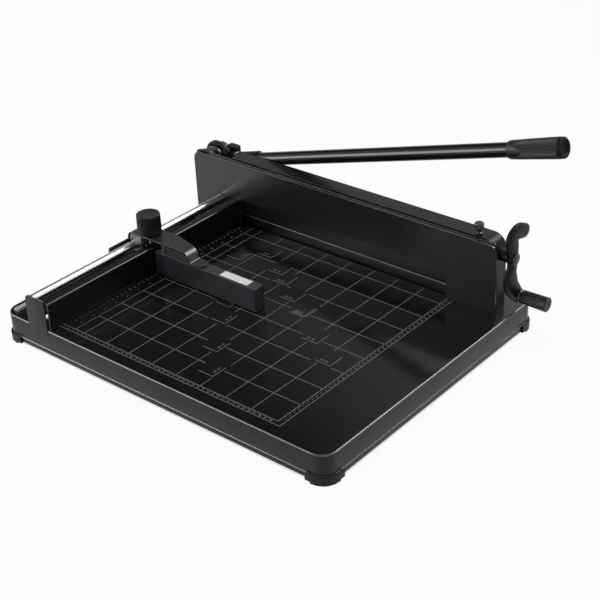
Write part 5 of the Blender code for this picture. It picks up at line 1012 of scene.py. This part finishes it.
# %% Numbers on scales and marks
INCH = 0.0254
INCHES = 16
INCH_X = 0.0215
INCH_BELOW = 0.0050
INCH_HEIGHT = NUMERAL_HEIGHT * 1.1
SCALE_HEIGHT = NUMERAL_HEIGHT * 0.9
SCALE_NUMBER_X = SCALE_X + NUMERAL_HEIGHT * 0.7
BORDER_MID = (BORDER_FRONT - TICK) / 2 + TICK * 0.6
MARK_TEXT = 0.0062
MARK_MID = MARK_ARM * 0.55
for number in range(1, STEPS_ALONG + 1):
    write(str(number), number * CENTI, BORDER_MID)
for number in range(1, STEPS_UP + 1):
    write(str(number), (GRID_RIGHT + BORDER_RIGHT) / 2, number * CENTI)
    write(str(number), SCALE_NUMBER_X, number * CENTI, SCALE_HEIGHT)
for number in range(1, INCHES + 1):
    write(str(number), INCH_X, number * INCH - INCH_BELOW, INCH_HEIGHT)
for marks, right, up, upright in (
    (MARKS_UP, -MARK_TEXT, MARK_MID, False), (MARKS_ALONG, -MARK_MID, MARK_TEXT, True),
):
    for x, y in marks:
        text = f"{round(x)} {round(BLADE_LINE - y)}"
        write(text, x * MILLI + right, y * MILLI + up, upright=upright)

# %% The print as one piece
print_mesh = bpy.data.meshes.new("printed_grid")
print_mesh.from_pydata((ZERO + np.array(points)).tolist(), [], faces)
print_mesh.shade_flat()
printed = put("printed_grid", print_mesh)
printed.data.materials.append(INK)
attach(printed, "base")
print("print points", len(points), "faces", len(faces))

# %% [markdown]
# ## Label on the stop
# A blank white film lies on top of the stop block. It is as thin as a sticker, and its
# corners are round.

# %% Blank label
LABEL_LOW = (0.1513, 0.2075)
LABEL_HIGH = (0.2105, 0.2234)
LABEL_CORNER = 0.0012
LABEL_FILM = 0.00012
STOP_TOP = 0.043
label_line = rounded(rectangle(LABEL_LOW, LABEL_HIGH), LABEL_CORNER, 4, closed=True)
film_low, film_high = STOP_TOP + LABEL_FILM / 3, STOP_TOP + LABEL_FILM
label = sheet_piece("blank_label", label_line, film_low, film_high, LABEL_FILM / 4, "Z")
settle(label, LABEL, "stop_block", stands_in=False)
print("label faces", len(label.data.polygons))

# %% [markdown]
# ## Guide rod
# The stop slides on a ground and hard-chromed rod. Its ends have a small chamfer; a turned
# profile gives it with many sides, so the mirror line along it stays straight.

# %% Guide rod
ROD_RADIUS = 0.008
ROD_CHAMFER = 0.0008
ROUND_SIDES = 96
rod_start, rod_size = box_along("guide_rod", "Y")
rod_length = rod_size[1]
rod_profile = [
    (0, 0), (0, ROD_RADIUS - ROD_CHAMFER), (ROD_CHAMFER, ROD_RADIUS),
    (rod_length - ROD_CHAMFER, ROD_RADIUS), (rod_length, ROD_RADIUS - ROD_CHAMFER), (rod_length, 0),
]
rod = turned("guide_rod_finished", rod_profile, ROUND_SIDES, rod_start, (0, 1, 0), smooth=30)
settle(rod, CHROME, "guide_rod")
print("rod length", round(rod_length, 4))

# %% [markdown]
# ## Lock knob
# A tall round knob locks the stop on its rod. It is moulded with a fine straight knurl, a
# plain foot and a chamfered top. The knurl could be a bump, but it breaks the outline, so it
# is a wave taken off the radius, faded out towards foot and top. Just above the foot the
# wall steps back under the teeth, so that they start with a small undercut.


# %% Waves round a turned piece
def ribs(angle, count, power):
    """A raised cosine that goes round count times; a higher power makes its ribs narrower."""
    return (0.5 - 0.5 * np.cos(count * angle)) ** power


def window(level, start, rise, end, fall):
    """One between two levels and zero outside, with a straight slope at each."""
    return np.clip((level - start) / rise, 0, 1) * np.clip((end - level) / fall, 0, 1)


# %% Lock knob
KNOB_TEETH = 56
KNOB_DEPTH = 0.00055
KNOB_FOOT = 0.0012
KNOB_TEETH_FROM = 0.0041
KNOB_TEETH_END = 0.0022
KNOB_DISH = 0.0007
knob_foot, knob_size = box_along("lock_knob", "Z")
knob_height = knob_size[2]
knob_radius = knob_size[0] / 2
knob_floor = knob_height - KNOB_DISH
knob_profile = rounded(
    [(0, 0), (0, knob_radius * 0.93), (KNOB_FOOT, knob_radius), (0.0042, knob_radius), (0.0046, knob_radius),
     (0.0040, knob_radius), (0.0300, knob_radius * 0.975), (knob_height, knob_radius * 0.97),
     (knob_height, knob_radius * 0.78), (knob_floor, knob_radius * 0.74), (knob_floor, 0)],
    [0, 0.0004, 0.0003, 0, 0, 0, 0, 0.0016, 0.0006, 0.0004, 0], 5,
)


def knurl(level, angle):
    """Teeth round the knob, only between foot and rim."""
    teeth = window(level, KNOB_TEETH_FROM, 0.0005, knob_height - KNOB_TEETH_END, 0.001)
    return KNOB_DEPTH * teeth * ribs(angle, KNOB_TEETH, 1.5)


knob = turned("lock_knob_finished", knob_profile, KNOB_TEETH * 8, knob_foot, UP, (0, 1, 0), knurl, 40)
settle(knob, PLASTIC, "lock_knob")
print("knob", round(knob_radius * 2, 4), "by", round(knob_height, 4))

# %% [markdown]
# ## Lever
# The lever is a painted tube. Its grip is a rubber-like moulding: a smooth collar whose edge
# runs in four waves, then fine ribs along the hand, and a dark dished cap at the end.

# %% Line of the lever
HUB_X, HUB_Z = -0.084, 0.098
LEVER_ANGLE = math.radians(16.1)
LEVER_DROP = -0.0149
PIVOT = place(HUB_X, 0.4768, HUB_Z)
LEVER_AXIS = np.array([math.cos(LEVER_ANGLE), 0, math.sin(LEVER_ANGLE)])
LEVER_UP = np.array([-math.sin(LEVER_ANGLE), 0, math.cos(LEVER_ANGLE)])


def lever_piece(name, profile, sides, start, wave=None, smooth=SMOOTH):
    """A turned piece on the tube's middle line, from a distance beyond the pivot."""
    spot = PIVOT + LEVER_AXIS * start + LEVER_UP * LEVER_DROP
    return turned(name, profile, sides, spot, LEVER_AXIS, LEVER_UP, wave, smooth)


# %% Tube
TUBE_RADIUS = 0.012
TUBE_FROM = 0.062
TUBE_TO = 0.7086
tube_profile = [(TUBE_FROM, 0), (TUBE_FROM, TUBE_RADIUS), (TUBE_TO, TUBE_RADIUS), (TUBE_TO, 0)]
tube = lever_piece("lever_tube_finished", tube_profile, ROUND_SIDES, 0, smooth=30)
settle(tube, TUBE_PAINT, "lever_tube")
print("tube from", TUBE_FROM, "to", TUBE_TO)

# %% [markdown]
# ## Arm of the lever
# The arm is a casting: a round hub on the pivot, a raised pad that takes two bolts, a socket
# for the tube and a low boss that drives the blade. One outline pulled to a single thickness
# would hide the notch between hub and pad, so it is built up in layers and then rounded.


# %% Arm
def disc_line(x, z, radius, sides=48):
    """A circle's points in the plane of the arm: middle plus radius times cosine and sine."""
    angle = np.linspace(0, 2 * math.pi, sides, endpoint=False)
    return np.column_stack([x + radius * np.cos(angle), z + radius * np.sin(angle)])


ARM_FRONT = 0.4613
WEB_LINE = [
    (-0.1000, 0.0850), (-0.0850, 0.0760), (-0.0540, 0.0350), (-0.0290, 0.0350), (-0.0290, 0.0600),
    (0.0080, 0.0935), (0.0060, 0.1180), (-0.0300, 0.1130), (-0.0900, 0.1100),
]
WEB_CORNERS = [0.010, 0.010, 0.012, 0.012, 0.010, 0.004, 0.004, 0.004, 0.010]
PAD_LOW, PAD_HIGH = (-0.0650, 0.0965), (-0.0405, 0.1225)
PAD_CORNERS = [0.004, 0.004, 0.0035, 0.0050]
BOSS_X, BOSS_Z = -0.0416, 0.0474
web_line = rounded(WEB_LINE, WEB_CORNERS, 6, closed=True)
pad_line = rounded(rectangle(PAD_LOW, PAD_HIGH), PAD_CORNERS, 6, closed=True)
ARM_LAYERS = {
    "pad": (pad_line, ARM_FRONT + 0.0062, 0.4815, 0.0010),
    "hub_front": (disc_line(HUB_X, HUB_Z, 0.0272), ARM_FRONT + 0.0014, 0.4715, 0.0030),
    "hub_back": (disc_line(HUB_X, HUB_Z, 0.0190), 0.4650, 0.4840, 0.0012),
    "boss": (disc_line(BOSS_X, BOSS_Z, 0.0120), ARM_FRONT + 0.0006, 0.4800, 0.0012),
}
arm = sheet_piece("lever_arm_finished", web_line, ARM_FRONT, 0.4745, 0.0010, "Y")
for name, (line, front, back, edge) in ARM_LAYERS.items():
    combine(arm, sheet_piece(name, line, front, back, edge, "Y"))
print("arm layers", len(ARM_LAYERS) + 1)

# %% Socket for the tube
SOCKET_RADIUS = 0.0148
SOCKET_FROM, SOCKET_TO, SOCKET_DEEP = 0.034, 0.0915, 0.088
socket_profile = rounded(
    [(SOCKET_FROM, 0), (SOCKET_FROM, SOCKET_RADIUS), (SOCKET_TO, SOCKET_RADIUS),
     (SOCKET_TO, TUBE_RADIUS * 0.9), (SOCKET_DEEP, 0)],
    [0, 0.003, 0.0012, 0, 0], 5,
)
combine(arm, lever_piece("socket", socket_profile, 64, 0))
shade(arm.data, 40)
settle(arm, CASTING, "lever_arm")
print("arm faces", len(arm.data.polygons))

# %% Grip with ribs
GRIP_FROM = 0.6256
GRIP_TO = 0.7146
GRIP_COLLAR = 0.0149
GRIP_END = 0.0166
GRIP_ROWS = 60
GRIP_SHARES = [0, 0.05, 0.20, 0.9, 1]
GRIP_RADII = [GRIP_COLLAR * 0.97, GRIP_COLLAR, GRIP_COLLAR * 1.02, GRIP_END, GRIP_END]
GRIP_RIBS = 40
GRIP_RIB_DEPTH = 0.0008
RIB_RISE = 0.0020
STEP_DEPTH = 0.0004
grip_length = GRIP_TO - GRIP_FROM
grip_level = np.linspace(0, grip_length, GRIP_ROWS)
grip_radius = np.interp(grip_level / grip_length, GRIP_SHARES, GRIP_RADII)
grip_profile = np.vstack([
    [(0, 0), (0, TUBE_RADIUS + 0.0004), (0, GRIP_COLLAR * 0.95)],
    np.column_stack([grip_level, grip_radius])[1:],
    [(grip_length, 0)],
])


def grip_ribs(level, angle):
    """Ribs along the hand and a fine step where they begin, on a line that waves four times round."""
    start = grip_length * (0.13 + 0.17 * (0.5 + 0.5 * np.cos(4 * angle)))
    hand = window(level, start, RIB_RISE, grip_length + 0.0005, 0.001)
    step = STEP_DEPTH * np.clip(1 - np.abs(level - start) / RIB_RISE, 0, 1)
    return GRIP_RIB_DEPTH * hand * ribs(angle, GRIP_RIBS, 1.4) + step


grip = lever_piece("lever_grip_finished", grip_profile, GRIP_RIBS * 8, GRIP_FROM, grip_ribs, 50)
settle(grip, GRIP_PLASTIC, "lever_grip")
print("grip length", round(grip_length, 4))

# %% Cap
CAP_FROM = GRIP_TO + 0.0003
CAP_LENGTH = 0.0057
cap_profile = rounded(
    [(0, 0), (0, GRIP_END * 0.98), (CAP_LENGTH, GRIP_END), (CAP_LENGTH, GRIP_END * 0.72),
     (CAP_LENGTH - 0.0030, GRIP_END * 0.60), (CAP_LENGTH - 0.0036, 0)],
    [0, 0.0005, 0.0022, 0.0008, 0.0015, 0], 6,
)
cap = lever_piece("grip_end_cap_finished", cap_profile, ROUND_SIDES, CAP_FROM, smooth=45)
settle(cap, CAP_PLASTIC, "grip_end_cap")
print("lever reach", round(CAP_FROM + CAP_LENGTH, 4))

# %% [markdown]
# ## Crank
# The press is screwed down by an S-shaped cast crank: a club-like counterweight above the
# hub, a belly below it and a boss for the grip. A casting has full, soft sides, so its form
# is one rounded section carried along a smooth line that passes through nine points.

# %% Crank line
SPINDLE = place(0.5553, 0.439, 0.0985)
CRANK_LINE = np.array([
    (0.0305, 0.0355), (0.011, 0.041), (-0.004, 0.034), (-0.001, 0.019), (0.0, 0.0),
    (-0.001, -0.016), (-0.0050, -0.033), (0.002, -0.052), (0.022, -0.0755),
])
CRANK_HALVES = np.array([0.0118, 0.0140, 0.0144, 0.0138, 0.0116, 0.0108, 0.0172, 0.0156, 0.0116])
CRANK_THICK = 0.0058
CRANK_SQUARE = 2.5
CRANK_FADE = 0.7
CRANK_ROWS, CRANK_SIDES = 96, 48
END_ROWS = 10


def flowing(values, share):
    """A smooth line through given points: each stretch is the cubic of its four nearest points."""
    values = np.vstack([2 * values[0] - values[1], values, 2 * values[-1] - values[-2]])
    at = np.clip(share, 0, 1) * (len(values) - 3)
    first = np.minimum(at.astype(int), len(values) - 4)
    t = (at - first)[:, None]
    a, b, c, d = (values[first + step] for step in range(4))
    return 0.5 * (2 * b + (c - a) * t + (2 * a - 5 * b + 4 * c - d) * t**2 + (3 * b - a - 3 * c + d) * t**3)


# %% Crank casting
share = np.linspace(0, 1, CRANK_ROWS)
middle = flowing(CRANK_LINE, share)
half = flowing(CRANK_HALVES[:, None], share)[:, 0]
ahead = np.gradient(middle, axis=0)
ahead = ahead / np.linalg.norm(ahead, axis=1)[:, None]
end_turn = np.linspace(0, math.pi / 2, END_ROWS)[:-1]
middle = np.vstack([
    middle[0] - ahead[0] * (half[0] * np.cos(end_turn))[:, None], middle,
    middle[-1] + ahead[-1] * (half[-1] * np.sin(end_turn[1:]))[:, None],
])
thick = np.concatenate([np.sin(end_turn), np.ones(len(share)), np.cos(end_turn[1:])])
half = np.concatenate([half[0] * np.sin(end_turn), half, half[-1] * np.cos(end_turn[1:])])
first_way = np.repeat(ahead[:1], len(end_turn), 0)
last_way = np.repeat(ahead[-1:], len(end_turn) - 1, 0)
ahead = np.vstack([first_way, ahead, last_way])
side = np.column_stack([-ahead[:, 1], ahead[:, 0]])
section = np.linspace(0, 2 * math.pi, CRANK_SIDES, endpoint=False)
wide = np.sign(np.cos(section)) * np.abs(np.cos(section)) ** (2 / CRANK_SQUARE)
deep = np.sign(np.sin(section)) * np.abs(np.sin(section)) ** (2 / CRANK_SQUARE)
plane = middle[:, None] + side[:, None] * (half[:, None] * wide[None])[..., None]
depth = CRANK_THICK * thick[:, None] ** CRANK_FADE * deep[None]
crank = tubes("crank_arm_finished", SPINDLE + np.concatenate([depth[..., None], plane], axis=-1), 60)
print("crank rows", len(middle))

# %% Crank hub
HUB_RADIUS = 0.0104
HUB_HALF = 0.006
HUB_EDGE = 0.0012
hub_profile = rounded(
    [(-HUB_HALF, 0), (-HUB_HALF, HUB_RADIUS), (HUB_HALF, HUB_RADIUS), (HUB_HALF, 0)],
    [0, HUB_EDGE, HUB_EDGE, 0], 5,
)
combine(crank, turned("hub", hub_profile, 72, SPINDLE, (1, 0, 0)))
shade(crank.data, 50)
settle(crank, CASTING, "crank_arm")
print("crank faces", len(crank.data.polygons))

# %% [markdown]
# The grip of the crank spins on its pin. It is a short ribbed handle that widens outwards and
# ends in a smooth band with a shallow recess.

# %% Crank grip
CRANK_RIBS = 18
CRANK_RIB_DEPTH = 0.0006
SPIN_FULLER = 1.07
SPIN_DISH = 0.0008
SPIN_ROWS = 40
ROOT_POINTS = 8
spin_start, spin_size = box_along("crank_grip", "X")
spin_length = spin_size[0]
spin_end = spin_size[2] / 2 * SPIN_FULLER
spin_root = spin_end * 0.91
spin_band = spin_end * 0.99
spin_floor = spin_length - SPIN_DISH
spin_profile = rounded(
    [(0, 0), (0, spin_root), (spin_length * 0.9, spin_band), (spin_length, spin_end),
     (spin_length, spin_end * 0.30), (spin_floor, spin_end * 0.24), (spin_floor, 0)],
    [0, 0.0012, 0.004, 0.0014, 0.0005, 0.0004, 0], 6,
)
levels = np.linspace(spin_length * 0.05, spin_length * 0.86, SPIN_ROWS)
radii = np.interp(levels / spin_length, [0, 0.9], [spin_root, spin_band])
rows = np.column_stack([levels, radii])
spin_profile = np.vstack([spin_profile[:ROOT_POINTS], rows, spin_profile[ROOT_POINTS:]])


def spin_ribs(level, angle):
    """Ribs between root and end band."""
    hand = window(level / spin_length, 0.06, 0.05, 0.84, 0.03)
    return CRANK_RIB_DEPTH * hand * ribs(angle, CRANK_RIBS, 2)


spin = turned("crank_grip_finished", spin_profile, CRANK_RIBS * 10, spin_start, (1, 0, 0), UP, spin_ribs, 50)
settle(spin, GRIP_PLASTIC, "crank_grip")
print("crank grip", round(spin_length, 4))

# %% [markdown]
# ## Small hand screw on the cover
# A short hand screw stands on the cover and locks the spindle: a collar, a thin neck and a
# knurled head with a domed top.

# %% Hand screw
SCREW_TEETH = 24
SCREW_DEPTH = 0.0004
SCREW_TEETH_FROM, SCREW_TEETH_TO, SCREW_FADE = 0.0250, 0.0302, 0.0006
screw_foot, screw_size = box_along("spindle_lock_screw", "Z")
screw_height = screw_size[2]
screw_profile = rounded(
    [(0, 0), (0, 0.0030), (0.0123, 0.0030), (0.0123, 0.0055), (0.0148, 0.0055), (0.0158, 0.0036),
     (0.0240, 0.0036), (0.0246, 0.0078), (0.0300, 0.0078), (screw_height, 0.0066), (screw_height, 0)],
    [0, 0.0003, 0, 0.0004, 0.0006, 0.0005, 0.0006, 0.0008, 0.0004, 0.0014, 0], 4,
)


def screw_knurl(level, angle):
    """Teeth round the head only."""
    teeth = window(level, SCREW_TEETH_FROM, SCREW_FADE, SCREW_TEETH_TO, SCREW_FADE)
    return SCREW_DEPTH * teeth * ribs(angle, SCREW_TEETH, 1.5)


screw = turned(
    "spindle_lock_screw_finished", screw_profile, SCREW_TEETH * 8, screw_foot, UP, (0, 1, 0), screw_knurl, 45
)
settle(screw, BLACKENED, "spindle_lock_screw")
print("screw height", round(screw_height, 4))

# %% [markdown]
# ## Studio
# The photo has a white ground and almost no shadow. A white floor lies under the machine and
# still takes its shadow. It glows for the camera, for gloss and for clear rays, so that its
# white is even, but not under the table, where light would leak out through the slits. The
# white behind it is what the same rays see of the world. Overhead that white fades, as it
# does in a room with a dark ceiling, because gloss enamel would show a white ceiling as
# grey. Lamps are large and soft.

# %% Floor
GROUND = -0.051
FLOOR_REACH = 6.0
FLOOR_GLOW = 0.95
UNDER_MIDDLE = place(0.225, 0.2375, 0)
UNDER_HALF = (0.334, 0.266)
UNDER_SOFT = 0.008


def ray_kinds(tree):
    """Three signals that are one for camera rays, for gloss rays and for clear rays."""
    kinds = tree.nodes.new("ShaderNodeLightPath").outputs
    return [Signal(tree, kinds[name]) for name in ("Is Camera Ray", "Is Glossy Ray", "Is Transmission Ray")]


floor_mesh = bpy.data.meshes.new("floor")
floor_spots = np.array([(-1, -1), (1, -1), (1, 1), (-1, 1)]) * FLOOR_REACH
floor_level = float(ZERO[2]) + GROUND
floor_mesh.from_pydata([(x, y, floor_level) for x, y in floor_spots.tolist()], [], [(0, 1, 2, 3)])
floor = put("floor", floor_mesh)
floor_paint, floor_shader, spot = fresh("white_floor", roughness=0.9, specular_ior_level=0.1)
wire(floor_shader, base_color=spot.noise(0.4).clip(0.2, 0.8).tint((0.90, 0.90, 0.90), (0.93, 0.93, 0.93)))
camera_ray, gloss_ray, clear_ray = ray_kinds(floor_shader.id_data)
seen = camera_ray.maths("MAXIMUM", camera_ray.maths("MAXIMUM", camera_ray, gloss_ray), clear_ray)
under = 1
for axis, half, middle_at in zip("XY", UNDER_HALF, UNDER_MIDDLE[:2].tolist()):
    along = spot.node("ShaderNodeSeparateXYZ", {}, {0: spot}, axis)
    off = along.maths("ABSOLUTE", along - middle_at, 0)
    under = (1 - off.clip(half - UNDER_SOFT, half)) * under
glow = spot.node("ShaderNodeEmission", {}, {"Color": (1, 1, 1, 1), "Strength": 1.0})
plain = Signal(spot.tree, floor_shader.outputs[0])
blend = spot.node("ShaderNodeMixShader", {}, {0: seen * (1 - under) * FLOOR_GLOW, 1: plain, 2: glow})
spot.tree.links.new(blend.socket, spot.tree.nodes["Material Output"].inputs["Surface"])
floor.data.materials.append(floor_paint)
print("floor at", round(floor_level, 4))

# %% World
AMBIENT = 0.25
DIM = 0.05
GLOSS_LAMPS = (((-0.688, -0.712, 0.139), 0.985, 0.93, 9.0), ((0.265, 0.656, 0.707), 0.99, 0.96, 13.0))
DARK_WALL = (-0.6735, 0.3141, 0.6691)
WALL_RANGE = (0.86, 0.945)
world = bpy.data.worlds.new("studio")
bpy.context.scene.world = world
world.use_nodes = True
tree = world.node_tree
camera_ray, gloss_ray, clear_ray = ray_kinds(tree)
facing = Signal(tree, tree.nodes.new("ShaderNodeTexCoord").outputs["Generated"])


def nearness(way):
    """The cosine between the direction of a ray and a way."""
    return facing.node("ShaderNodeVectorMath", {"operation": "DOT_PRODUCT"}, {0: facing, 1: way}, "Value")


gloss_light = 1 - nearness(DARK_WALL).clip(*WALL_RANGE) * (1 - DIM)
for way, inner_cosine, outer_cosine, power in GLOSS_LAMPS:
    gloss_light = gloss_light + nearness(way).clip(outer_cosine, inner_cosine) * power
direct = camera_ray.maths("MAXIMUM", camera_ray, clear_ray)
other = (1 - direct) * (1 - gloss_ray)
strength = direct + (1 - direct) * gloss_ray * gloss_light + other * AMBIENT
background = tree.nodes["Background"]
background.inputs["Color"].default_value = (1, 1, 1, 1)
tree.links.new(strength.socket, background.inputs["Strength"])
print("gloss lamps", len(GLOSS_LAMPS))

# %% Lamps
MIDDLE = place(0.225, 0.24, 0.0)
LAMP_WIDTH, LAMP_DEPTH = 1.4, 1.0
LAMPS = {"overhead": ((0.1, 0.1, 1.8), 15), "front_left": ((-1.37, -1.19, 1.42), 16)}


def lamp(name, spot, goal, power):
    """A soft area lamp at a spot, turned towards its goal."""
    data = bpy.data.lights.new(name, "AREA")
    data.shape = "RECTANGLE"
    data.size = LAMP_WIDTH
    data.size_y = LAMP_DEPTH
    data.energy = power
    made = put(name, data)
    way = Vector(np.array(goal) - np.array(spot))
    made.matrix_world = Matrix.Translation(spot) @ way.to_track_quat("-Z", "Y").to_matrix().to_4x4()
    made.visible_glossy = False


for name, (reach, power) in LAMPS.items():
    lamp(name, MIDDLE + reach, MIDDLE, power)
bpy.context.scene.view_settings.view_transform = "Standard"
print("lamps", len(bpy.data.lights))

# %% [markdown]
# ## Pieces without a finish
# The names of imported solids that got no finish here are printed. The visual model must
# stay in the imported model's box.


bare = sorted(set(nodes) - {name for names in KEPT.values() for name in names} - set(ROUNDED_COPIES)
              - {piece.name.replace("_finished", "") for piece in bpy.data.objects})
print("nodes without a finish:", bare)
